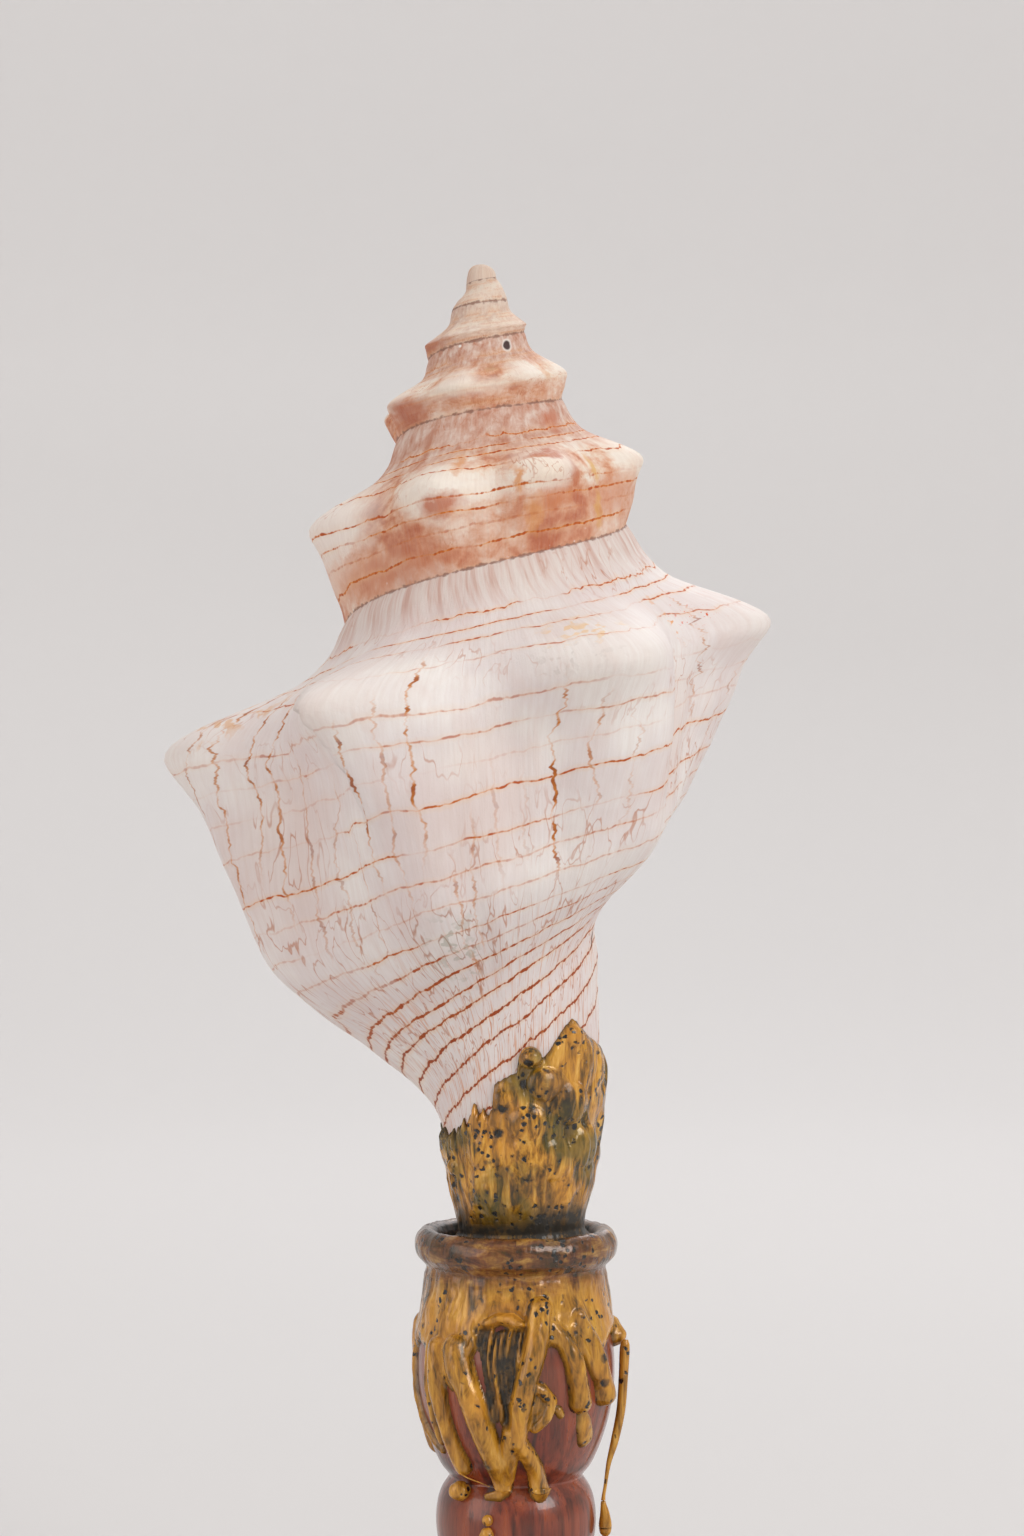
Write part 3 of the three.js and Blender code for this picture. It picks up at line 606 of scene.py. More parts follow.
# The last whorl: cream with pale pink clouds, pinker towards the neck, where red-brown streaks run down.
neck = add(tree, "MapRange", {0: across, 1: 4.9, 2: 6.6, 3: 0.0, 4: 1.0})
body = add(tree, "ValToRGB", {0: clouds}, stops=[(0.34, "#e6d9d7"), (0.66, "#f3eeea"), (0.5, "#ece4e2")])
body = lay(tree, body, "#f1eae3", (crest, 0.15, 0.9, 0.0, 0.6))
# Pinker and a little darker in the hollows between knobs below the shoulder: partly the shell's tint, partly
# painted shade.
body = lay(tree, body, "#e4d2cb", (crest, -0.3, -0.9, 0.0, 0.5))
body = lay(tree, body, "#e4d0c8", (broad_streaks, 0.52, 0.68, 0.0, 0.3))
body = lay(tree, body, "#dc8a4a", times(tree, neck, (fine_streaks, 0.56, 0.65, 0.0, 0.8)))

# The band below the suture of the last whorl: greyish pink with curved growth streaks.
bow = add(tree, "Math", {0: times(tree, across, across), 1: 0.02, 2: turns}, operation="MULTIPLY_ADD")
bowed = add(tree, "CombineXYZ", {0: bow, 1: across, 2: 0.0})
bowed_streaks = stretched(tree, bowed, (110, 0.5, 0), Detail=3.0, Roughness=0.65)
band_colour = add(tree, "ValToRGB", {0: bowed_streaks}, stops=[
    (0.32, "#c29383"), (0.6, "#e4d9d2"), (0.42, "#d2b1a4"), (0.5, "#ddcbc3")])
body = lay(tree, body, band_colour, (across, 0.35, 0.95, 0.85, 0.0))

# The older whorls: brownish-pink ramps, terracotta flanks and cream knobs, in patches that follow the growth.
patches = add(tree, "TexNoise", {"Vector": place, "Scale": 62.0, "Detail": 4.0, "Roughness": 0.6,
                                 "Distortion": 0.5})
small_patches = stretched(tree, growth, (44, 2.4, 0), Detail=4.0, Roughness=0.65, Distortion=0.3)
patches = add(tree, "Mix", {0: 0.38, 2: patches, 3: small_patches})
older = add(tree, "ValToRGB", {0: patches}, stops=[
    (0.37, "#b8623a"), (0.59, "#f3e8da"), (0.425, "#cd8259"), (0.475, "#e0ad8e"), (0.53, "#ecd3be")])
ramp_mix = add(tree, "Mix", {0: 0.6, 2: broad_streaks, 3: small_patches})
ramp_shell = add(tree, "ValToRGB", {0: ramp_mix}, stops=[(0.38, "#bd7d62"), (0.62, "#e2ccc0"), (0.5, "#d0a592")])
older = lay(tree, older, ramp_shell, (across, 0.9, 1.7, 0.9, 0.0))
flank_shell = add(tree, "ValToRGB", {0: patches}, stops=[
    (0.38, "#bf6843"), (0.6, "#ebd0bf"), (0.46, "#d18e6c"), (0.53, "#dfb097")])
older = lay(tree, older, flank_shell, (across, 2.5, 3.1, 0.0, 0.75))
older = lay(tree, older, "#f4e9dc", (crest, 0.12, 0.62, 0.0, 0.8))
tip_shell = add(tree, "ValToRGB", {0: patches}, stops=[(0.4, "#bb8d75"), (0.6, "#ead9c8"), (0.49, "#d9bfae")])
older = lay(tree, older, tip_shell, (turns, -3.0, -2.4, 0.75, 0.0))

# Patches on the older whorls as [growth angle, row, half-size in degrees and rows, colour, strength]: cream knobs,
# terracotta round the studs that is partly the spire's own colour and partly painted shadow at their feet,
# terracotta at the left of each whorl, and upright orange and yellow flames.
PATCHES = [
    (-284, 2.3, 34, 1.25, "#f5ebe3", 0.9), (-352, 2.35, 34, 0.55, "#f6eee3", 0.85),
    (-705, 2.6, 46, 0.8, "#f4ebdd", 0.8), (-421, 3.1, 22, 0.8, "#cf8055", 0.6),
    # Round the studs at -379 and -340: terracotta, partly painted shadow at their feet.
    (-342, 2.65, 10, 0.42, "#bf6030", 0.85), (-384, 1.62, 13, 0.2, "#bd5f33", 0.8),
    (-393, 2.5, 4.5, 0.6, "#bf6536", 0.8), (-384, 3.0, 11, 0.3, "#cf7a45", 0.75),
    (-380, 2.1, 9, 0.4, "#f7e9d8", 0.8), (-664, 3.2, 20, 1.4, "#b2542a", 0.85),
    (-1005, 2.9, 44, 1.5, "#b2572d", 0.85), (-406, 0.6, 14, 0.5, "#c46a3e", 0.75),
    (-452, 1.0, 22, 0.7, "#c98361", 0.6), (-370, 2.25, 2.4, 0.55, "#dd8a2c", 0.8),
    (-410, 2.3, 3.2, 0.6, "#e0ad55", 0.8), (-347, 1.5, 4, 0.4, "#d98a3a", 0.7),
    (-409, 3.4, 3, 0.5, "#dba04c", 0.7), (-376, 3.25, 4, 0.5, "#dd9448", 0.6),
    (-726, 1.6, 9, 0.25, "#c08a5c", 0.7), (-768, 2.4, 6, 0.7, "#dba165", 0.5),
    (-300, 3.5, 30, 0.5, "#dfa687", 0.6), (-325, 3.7, 30, 0.45, "#c97b55", 0.6)]
tear = add(tree, "TexNoise", {"Vector": place, "Scale": 240.0, "Detail": 4.0, "Roughness": 0.65})
torn = add(tree, "VectorMath", {0: tear.node.outputs["Color"], 1: (0.03, 0.8, 0), 2: growth},
           operation="MULTIPLY_ADD")
torn = add(tree, "VectorMath", {0: torn, 1: (0.015, 0.4, 0)}, operation="SUBTRACT")
for angle, row, wide, tall, colour, level in PATCHES:
    older = lay(tree, older, colour, patch_part(torn, angle, row, wide, tall, level, 0.35))
old_whorls = add(tree, "MapRange", {0: turns, 1: -0.72, 2: -0.58, 3: 1.0, 4: 0.0})
skin = lay(tree, body, older, old_whorls)
skin = lay(tree, skin, "#d0b7ab", (fine_streaks, 0.35, 0.65, 0.0, 0.17))

# Spiral lines: millimetres to the nearest line, made wavy, beaded and broken by noise that runs along it.
cord_number = add(tree, "Math", {0: cord}, operation="ROUND")
cord_along = add(tree, "CombineXYZ", {0: turns, 1: cord_number, 2: 0.0})
cord_mm = wavy_line(cord, cord_gap, cord_along, (34, 5.3, 0), 0.11, Detail=3.0, Roughness=0.6)
beads = stretched(tree, cord_along, (190, 3.1, 0), Detail=2.0)
full_width = add(tree, "MapRange", {0: beads, 1: 0.4, 2: 0.7, 3: 0.05, 4: 0.34})
half_width = times(tree, full_width, (across, 5.0, 6.0, 0.55, 1.0))
breaks = stretched(tree, cord_along, (13, 7.7, 0), Detail=2.0)
kept_part = add(tree, "Math", {0: (breaks, 0.4, 0.55, 0.12, 1.0), 1: (across, 4.8, 5.9, 0.0, 1.0)},
                operation="MAXIMUM")
on_spire = add(tree, "MapRange", {0: turns, 1: -1.9, 2: -1.55, 3: 0.12, 4: 1.0})
older_part = times(tree, on_spire, (old_whorls, 0.0, 1.0, 1.0, 1.9))
cord_part = times(tree, line_mask(cord_mm, half_width, 0.18), kept_part, (beads, 0.36, 0.58, 0.4, 1.0),
                  older_part, cord_dark)
halo = add(tree, "MapRange", {0: cord_mm, 1: 0.2, 2: 1.2, 3: 0.45, 4: 0.0})
skin = lay(tree, skin, "#efc59a", times(tree, halo, cord_dark, kept_part))
cord_colour = add(tree, "ValToRGB", {0: beads}, stops=[(0.38, "#de8a30"), (0.62, "#ba500a")])
cord_colour = lay(tree, cord_colour, "#9e4004", neck)
cord_strong = add(tree, "Math", {0: cord_part, 1: 1.9}, operation="MULTIPLY", use_clamp=True)
skin = lay(tree, skin, cord_colour, cord_strong)

# Growth rests: upright cracks, jagged and broken, stained rust and dark brown.
rest_number = add(tree, "Math", {0: rest}, operation="ROUND")
rest_along = add(tree, "CombineXYZ", {0: rest_number, 1: across, 2: 0.0})
rest_mm = wavy_line(rest, rest_gap, rest_along, (9.1, 1.1, 0), 0.36, Detail=5.0, Roughness=0.68)
blots = stretched(tree, rest_along, (4.3, 4.5, 0), Detail=3.0)
rest_width = add(tree, "MapRange", {0: blots, 1: 0.44, 2: 0.74, 3: 0.05, 4: 0.34})
rest_part = times(tree, line_mask(rest_mm, rest_width, 0.22), (blots, 0.4, 0.58, 0.25, 1.1), rest_dark)
rest_colour = add(tree, "ValToRGB", {0: blots}, stops=[(0.48, "#db8a2c"), (0.68, "#a04c0e")])
skin = lay(tree, skin, rest_colour, rest_part)

# Hairlines: thin brown lines along the growth, in patches, dense and dark on the underside of the last whorl.
hair_noise = stretched(tree, growth, (75, 1.3, 0), Detail=2.5, Distortion=0.3)
hair_off = add(tree, "Math", {0: hair_noise, 1: 0.5}, operation="SUBTRACT")
hair_off = add(tree, "Math", {0: hair_off}, operation="ABSOLUTE")
stain = patch_part(torn, 16, 5.35, 13, 0.85, 0.3, 0.2)
hair_level = stretched(tree, growth, (8, 0.9, 0), Detail=3.0)
for more in (across, 3.6, 5.4, 0.0, 0.16), stain:
    hair_level = add(tree, "Math", {0: hair_level, 1: more}, operation="ADD")
hair_mask = add(tree, "MapRange", {0: hair_off, 1: 0.004, 2: 0.016, 3: 1.0, 4: 0.0})
hair_part = times(tree, hair_mask, (hair_level, 0.5, 0.66, 0.0, 0.6))
skin = lay(tree, skin, lay(tree, "#bb6524", "#1d1a12", stain), hair_part)

# A faint grey-green stain on the front underside, orange specks near the right-hand knob, ochre strokes on the
# left-hand one, the pale rim of the bore hole, and painted shade for its dark inside. Each is [where, growth
# angle, row, half-size in degrees and rows, colour, strength, edge], then how fine its mottling is and how much
# the mottling leaves bare.
SPOTS = [(torn, 16, 5.35, 10, 0.7, "#9a9a84", 0.4, 0.3, 420, 0.54),
         (torn, -65, 1.75, 8, 0.3, "#dd5a08", 1.0, 0.4, 1600, 0.64),
         (torn, -57, 1.7, 1.3, 0.6, "#e8962a", 0.8, 0.3, 700, 0.54),
         (torn, -15, 1.95, 11, 0.4, "#d9cfc9", 0.6, 0.3, 500, 0.54),
         (torn, -20, 1.5, 12, 0.25, "#eec27c", 0.6, 0.3, 300, 0.54),
         (torn, 80, 1.7, 16, 0.5, "#dfa052", 0.55, 0.3, 260, 0.54),
         (growth, *BORE_HOLE[:2], 8, 0.36, "#efe4dc", 0.85, 0.75, None, None),
         # Painted shade: the dark inside of the bore hole.
         (growth, *BORE_HOLE[:2], 5.8, 0.26, "#4a3230", 1.0, 0.7, None, None)]
for where, angle, row, wide, tall, colour, level, crisp, fineness, bare in SPOTS:
    part = patch_part(where, angle, row, wide, tall, level, crisp)
    if fineness:
        mottle = add(tree, "TexNoise", {"Vector": place, "Scale": fineness, "Detail": 2.0})
        part = times(tree, part, (mottle, bare, bare + 0.05, 0.0, 1.0))
    skin = lay(tree, skin, colour, part)

# The suture: a thin ragged grey-brown line of painted shade in the crease between whorls, with tiny white grains
# caught along it.
ragged = add(tree, "TexNoise", {"Vector": place, "Scale": 900.0, "Detail": 2.0})
suture_mm = add(tree, "Math", {0: from_suture, 1: (ragged, 0.3, 0.7, -0.25, 0.35)}, operation="ADD")
skin = lay(tree, skin, "#8a5f4e", (suture_mm, 0.1, 0.42, 0.8, 0.0))
grains = add(tree, "TexVoronoi", {"Vector": place, "Scale": 420.0})
grain_choice = add(tree, "TexNoise", {"Vector": place, "Scale": 190.0})
grain_part = times(tree, (grains, 0.1, 0.17, 1.0, 0.0), (from_suture, 0.6, 3.2, 0.9, 0.0),
                   (grain_choice, 0.52, 0.6, 0.0, 1.0), old_whorls)
skin = lay(tree, skin, "#f6f2ee", grain_part)

# Inside the aperture: glossy peach-orange porcelain with fine brown ridges.
ridges = add(tree, "Math", {0: across, 1: 0.11}, operation="PINGPONG")
lining = add(tree, "ValToRGB", {0: clouds}, stops=[(0.35, "#c9825c"), (0.65, "#e6b08c")])
lining = lay(tree, lining, "#8f5134", (ridges, 0.0, 0.035, 0.5, 0.0))
lined = add(tree, "MapRange", {0: inside, 1: 0.25, 2: 0.85, 3: 0.0, 4: 1.0})
skin = lay(tree, skin, lining, lined)

grit = add(tree, "TexNoise", {"Vector": place, "Scale": 2600.0, "Detail": 2.0})
height = fine_streaks
for mask, amount in (cord_part, -0.35), (rest_part, -0.7), (broad_streaks, 1.5), (grit, 0.35):
    height = add(tree, "Math", {0: mask, 1: amount, 2: height}, operation="MULTIPLY_ADD")
satin = add(tree, "Mix", {0: lined, 2: (fine_streaks, 0.3, 0.7, 0.48, 0.66), 3: 0.25})
shell_bump = add(tree, "Bump", {"Strength": 0.55, "Distance": 0.00025, "Height": height})
fill(shader, {"Base Color": skin, "Roughness": satin, "IOR": 1.53, "Normal": shell_bump})

conch.piece("horse_conch_shell", ["growth", "cords", "rests", "depths"], shell_material, "shell", "shell")

# --------------------------------------------------------------------------------------------------
# Gilded collar: thick resin poured round the canal to bed the shell in its socket, then brushed with bronze-gold
# paint. Its upper edge is ragged, it has run down in streaks, and it pools in the gap inside the cup's rim,
# darkened there with painted shade.
# --------------------------------------------------------------------------------------------------

# Bronze-gold paint brushed over glossy resin: ochre gold with olive and brown streaks that follow the flow, black
# speckles where bubbles broke, dark creases that are partly painted shade, painted shade in the gap inside the rim
# and in the hollow under the lip, and sharp wet highlights.
gilt, tree, shader = new_material("bronze_gold_paint_on_poured_resin")
place = add(tree, "TexCoord").node.outputs["Object"]
_, coat_mm, dirt_and_painted_shade, rimness = parts_of(tree, "coat")
east, north, height_up = add(tree, "SeparateXYZ", {0: place}).node.outputs
broad_flow = stretched(tree, place, (230, 230, 62), Detail=4.0, Roughness=0.62, Distortion=1.8)
thin_flow = stretched(tree, place, (1100, 1100, 200), Detail=3.0, Distortion=1.0)
flow = add(tree, "Mix", {0: 0.28, 2: broad_flow, 3: thin_flow})
flow = add(tree, "Mix", {0: (height_up, 0.088, 0.104, 0.45, 0.0), 2: flow, 3: 0.545})
gold = add(tree, "ValToRGB", {0: flow}, stops=[
    (0.38, "#241c08"), (0.68, "#f3c160"), (0.445, "#5f4411"), (0.495, "#aa7420"), (0.56, "#d49a32")])
drift = add(tree, "TexNoise", {"Vector": place, "Scale": 95.0, "Detail": 3.0})
above_cup = add(tree, "MapRange", {0: height_up, 1: 0.094, 2: 0.106, 3: 0.12, 4: 1.0})
gold = lay(tree, gold, "#62561b", times(tree, above_cup, (drift, 0.48, 0.62, 0.0, 0.75)))
gold = lay(tree, gold, "#dc9636", (drift, 0.5, 0.36, 0.0, 0.45))
worn = add(tree, "TexNoise", {"Vector": place, "Scale": 420.0, "Detail": 4.0, "Roughness": 0.7})
rim_angle = add(tree, "Math", {0: east, 1: north}, operation="ARCTAN2")
rim_place = add(tree, "CombineXYZ", {0: rim_angle, 1: 0.0, 2: height_up})
rim_streaks = stretched(tree, rim_place, (2.6, 0, 420), Detail=4.0, Roughness=0.65, Distortion=0.6)
rim_mix = add(tree, "Mix", {0: 0.3, 2: rim_streaks, 3: worn})
rim_colour = add(tree, "ValToRGB", {0: rim_mix}, stops=[
    (0.39, "#1c1410"), (0.63, "#c6964a"), (0.45, "#4d2417"), (0.51, "#7a4426"), (0.56, "#9a6a33")])
gold = lay(tree, gold, rim_colour, (rimness, 0.0, 1.0, 0.0, 0.85))
# Dark olive where the resin is thin, along the edges of its runs and the collar's ragged upper edge: partly dirt,
# partly painted shade in the creases where the resin meets wood and shell.
gold = lay(tree, gold, "#4b3a1e", (coat_mm, 0.1, 0.95, 0.85, 0.0))
# Near black in dark patches of the paint, and as painted shade in the gap inside the rim and in the hollow under
# the lip.
gold = lay(tree, gold, "#2a251b", times(tree, dirt_and_painted_shade, (worn, 0.4, 0.58, 1.0, 0.45)))

# Speckles of two sizes, about half a millimetre and a millimetre and a half across, fewer below the cup's rim.
shaken = add(tree, "TexNoise", {"Vector": place, "Scale": 900.0, "Detail": 2.0}).node.outputs["Color"]
shaken = add(tree, "VectorMath", {0: shaken, 1: (0.0012, 0.0012, 0.0012), 2: place}, operation="MULTIPLY_ADD")
specks = None
for scale, low, high, some in [(620.0, 0.24, 0.36, 0.48), (250.0, 0.18, 0.3, 0.52)]:
    cells = add(tree, "TexVoronoi", {"Vector": shaken, "Scale": scale, "Randomness": 1.0})
    dots = add(tree, "MapRange", {0: cells, 1: low, 2: high, 3: 1.0, 4: 0.0})
    choice = add(tree, "TexNoise", {"Vector": place, "Scale": scale * 0.3, "Detail": 1.0})
    choice = add(tree, "Math", {0: choice, 1: (height_up, 0.092, 0.104, -0.055, 0.0)}, operation="ADD")
    part = times(tree, dots, (choice, some, some + 0.04, 0.0, 1.0))
    specks = add(tree, "Math", {0: part, 1: specks}, operation="MAXIMUM") if specks else part
gold = lay(tree, gold, "#1f1e1b", specks)

gloss = add(tree, "Mix", {0: dirt_and_painted_shade, 2: (flow, 0.3, 0.7, 0.3, 0.16), 3: 0.6})
pits = add(tree, "Math", {0: specks, 1: -0.8, 2: flow}, operation="MULTIPLY_ADD")
pits = add(tree, "Math", {0: worn, 1: 0.5, 2: pits}, operation="MULTIPLY_ADD")
gilt_bump = add(tree, "Bump", {"Strength": 0.6, "Distance": 0.00035, "Height": pits})
fill(shader, {"Base Color": gold, "Metallic": 0.12, "Roughness": gloss, "Normal": gilt_bump,
              "Coat Weight": 0.4, "Coat Roughness": 0.12})


def mark(piece, values):
    """Stores [coat thickness in mm, dark patches and painted shade, rim wear] at each point for the gilt."""
    made = piece.data.attributes.new("coat", "FLOAT_VECTOR", "POINT")
    values = np.broadcast_to(np.reshape(values, (-1, 3)), (len(piece.data.vertices), 3))
    made.data.foreach_set("vector", values.astype(np.float32).ravel())


def ring_of(outer, inner):
    """Points and faces of a closed ring between two sheets [columns, rows, xyz] with the same columns."""
    loop = np.concatenate([outer, inner[:, ::-1]], 1)
    columns, rows = loop.shape[:2]
    ids = np.arange(columns * rows).reshape(columns, rows)
    right, down = np.roll(ids, -1, 0), np.roll(ids, -1, 1)
    faces = np.stack([ids, down, np.roll(right, -1, 1), right], -1).reshape(-1, 4)
    return loop.reshape(-1, 3), faces.tolist()


# The ragged upper edge as [growth angle, depth below the apex], from the front round both sides.
COLLAR_EDGE = [(-222, 172), (-180, 166), (-150, 169), (-120, 160), (-84.5, 158), (-58, 154.5), (-51.5, 153),
               (-46, 150.9), (-42, 150.4), (-38, 151.6), (-32.5, 153.5), (-23.5, 156.9),
               (-20, 157.8), (-18.5, 156.8), (-17, 156), (-14.5, 155.5), (-11.5, 155.3), (-8.5, 155.5),
               (-6, 156.1),
               (-4.3, 157.3), (-3.4, 158.8), (-3.1, 160.3), (4.5, 161.2),
               (13, 162.6), (15, 167.9), (28, 167.8), (47.5, 171.4), (90.5, 174.9), (110, 174), (138, 172)]
# Lumps and bubbles in the resin: [growth angle, depth, radius, height].
COLLAR_LUMPS = [(-11.5, 157.5, 2.2, 2.9), (-42, 154, 2.4, 1.7), (9, 166, 2.4, 1.3), (-20, 163, 3.6, 2.3),
                (-9, 170.5, 4.2, 1.9), (-40, 167, 4.4, 1.9), (24, 176, 4.4, 1.8), (-55, 176, 4.6, 1.9),
                (-26, 178, 4.6, 1.9), (60, 179.5, 2, 1.9), (-64, 166, 5, 0.9), (12, 187, 5, 0.8), (100, 182, 3, 1),
                (-140, 176, 4, 1.2), (-180, 180, 3, 1.2), (130, 186, 3, 0.9)]
COLLAR_WALL, COLLAR_EDGE_WALL, EDGE_ROUNDING = 1.05, 0.1, 1.6
SUNK_IN_SHELL = 0.15
COLLAR_COLUMNS = 420
COLLAR_WALL_ROWS = 96
POOL_ROWS = 14
POOL_DEPTH = APEX[2] - RIM_TOP + 1.9
FOOT_DEPTH = POOL_DEPTH - 2.6
CANAL_BRIDGE = 100.0


def neck_radius(angles, depth):
    """The neck's radius at growth angles and depths [angles, rows], with the open canal bridged over."""
    rows = np.linspace(5, 10, 120)

    def at(growth):
        line = profile(growth, rows)
        return np.array([np.interp(d, one[:, 1], one[:, 0]) for d, one in zip(depth, line)])

    start = LIP_GROWTH - TURN
    there = at(angles)
    t = np.clip((angles - start) / CANAL_BRIDGE, 0, 1)[:, None]
    first, second = (at(np.full_like(angles, growth)) for growth in (LIP_GROWTH, start + CANAL_BRIDGE))
    bridge = first * (1 - t) + second * t
    return np.where(t < 1, np.maximum(there, bridge), there)


collar_angles = LIP_GROWTH - TURN + np.arange(COLLAR_COLUMNS) * TURN / COLLAR_COLUMNS
edge_depth = np.interp(collar_angles, *np.array(COLLAR_EDGE).T)
dry_side = between(14, 22, collar_angles) + (1 - between(-170, -110, collar_angles))
for i, angle in enumerate(collar_angles):
    around = Vector((math.sin(math.radians(angle)) * 9, math.cos(math.radians(angle)) * 9, 0.5))
    teeth = noise.noise(around * 1.9) * 2.6 + noise.noise(around * 4.1) * 1.3
    edge_depth[i] += teeth * (0.22 + 0.9 * dry_side[i]) * min(1, abs(angle + 11.5) / 20)
down = np.linspace(0, 1, COLLAR_WALL_ROWS)[None, :] ** 1.25
collar_depth = edge_depth[:, None] + (FOOT_DEPTH - edge_depth[:, None]) * down
collar_radius = neck_radius(collar_angles, collar_depth)
below_edge = collar_depth - edge_depth[:, None]
thickness = COLLAR_WALL * np.sqrt(np.clip(below_edge / EDGE_ROUNDING, 0, 1)) + COLLAR_EDGE_WALL
grimy = np.zeros(thickness.shape)
for i, angle in enumerate(collar_angles):
    east, north = math.sin(math.radians(angle)), math.cos(math.radians(angle))
    for k in range(COLLAR_WALL_ROWS):
        depth = collar_depth[i, k]
        swell = noise.noise(Vector((east * 3.2, north * 3.2, depth / 13)))
        bent = 2.5 * noise.noise(Vector((east * 2, north * 2, depth / 9)))
        streak = noise.noise(Vector((east * 11 + bent, north * 11 + bent, depth / 22)))
        knots = noise.noise(Vector((east * 14, north * 14, depth / 3)))
        grimy[i, k] = noise.noise(Vector((east * 2.7 + bent / 4, north * 2.7, depth / 9))) + 0.5 * streak
        grown = min(below_edge[i, k] / 3, 1)
        thickness[i, k] += (0.95 * swell + 0.6 * streak + 0.16 * knots) * grown
for angle, depth, radius, height in COLLAR_LUMPS:
    arc = np.radians((collar_angles[:, None] - angle + 180) % 360 - 180) * collar_radius
    away = np.hypot(arc, collar_depth - depth) / radius
    lump = height * np.sqrt(np.clip(1 - away ** 2, 0, 1))
    thickness = np.maximum(thickness, np.where(away < 1, thickness * 0.4 + lump, 0))
thickness = np.clip(thickness, 0.08, None)
thickness *= 1 - 0.75 * between(FOOT_DEPTH - 9, FOOT_DEPTH - 1, collar_depth)
bend = np.linspace(0, math.pi / 2, POOL_ROWS)[None, 1:]
foot_radius = (collar_radius + thickness)[:, -1:]
pool_out = foot_radius + (SOCKET_RADIUS + 0.15 - foot_radius) * (1 - np.cos(bend))
pool_down = FOOT_DEPTH + (POOL_DEPTH - FOOT_DEPTH) * np.sin(bend)
pool_depth = np.repeat(pool_down, COLLAR_COLUMNS, 0)
all_depth = np.concatenate([collar_depth, pool_depth, pool_depth[:, -1:] + 1.5], 1)
all_radius = np.concatenate([collar_radius + thickness, pool_out, pool_out[:, -1:]], 1)
lining_depth = np.linspace(0, 1, 24)[None, :] * (POOL_DEPTH + 1.5 - edge_depth[:, None])
lining_depth += edge_depth[:, None]
lining_radius = neck_radius(collar_angles, np.minimum(lining_depth, BASE_DEPTH - 1)) - SUNK_IN_SHELL
outer_sheet = in_space(np.stack([all_radius, all_depth], -1), collar_angles)
lining_sheet = in_space(np.stack([lining_radius, lining_depth], -1), collar_angles)
collar_points, collar_faces = ring_of(outer_sheet, lining_sheet)
collar = put("gilded_collar_of_resin", collar_points, collar_faces, gilt, "gilded_resin", "gilded_collar")
wall_marks = np.zeros((COLLAR_COLUMNS, all_depth.shape[1] + lining_depth.shape[1], 3))
wall_marks[:, :COLLAR_WALL_ROWS, 0] = thickness
wall_marks[:, COLLAR_WALL_ROWS:, 0] = 1
# Painted shade where the collar goes down into the gap inside the cup's rim: it darkens towards its foot, over a
# band that is widest at the front right, and the pool in the gap is dark all over. The noise patches after it are
# dark patches in the paint.
band = (2.2 + 4.2 * np.exp(-((collar_angles + 45) / 35) ** 2))[:, None]
wall_marks[:, :all_depth.shape[1], 1] = 1.4 * between(FOOT_DEPTH - band, FOOT_DEPTH - band * 0.3, all_depth)
wall_marks[:, :COLLAR_WALL_ROWS, 1] += 0.7 * between(0.12, 0.5, grimy)
mark(collar, wall_marks)

# --------------------------------------------------------------------------------------------------
# Gilded apron: the same resin run over the rim and down the cup, and gilded with it. It hangs in fat round-ended
# runs with bare wood between them, and an arched lip stands over a rough hollow at the front, which is darkened
# with painted shadow.
# --------------------------------------------------------------------------------------------------

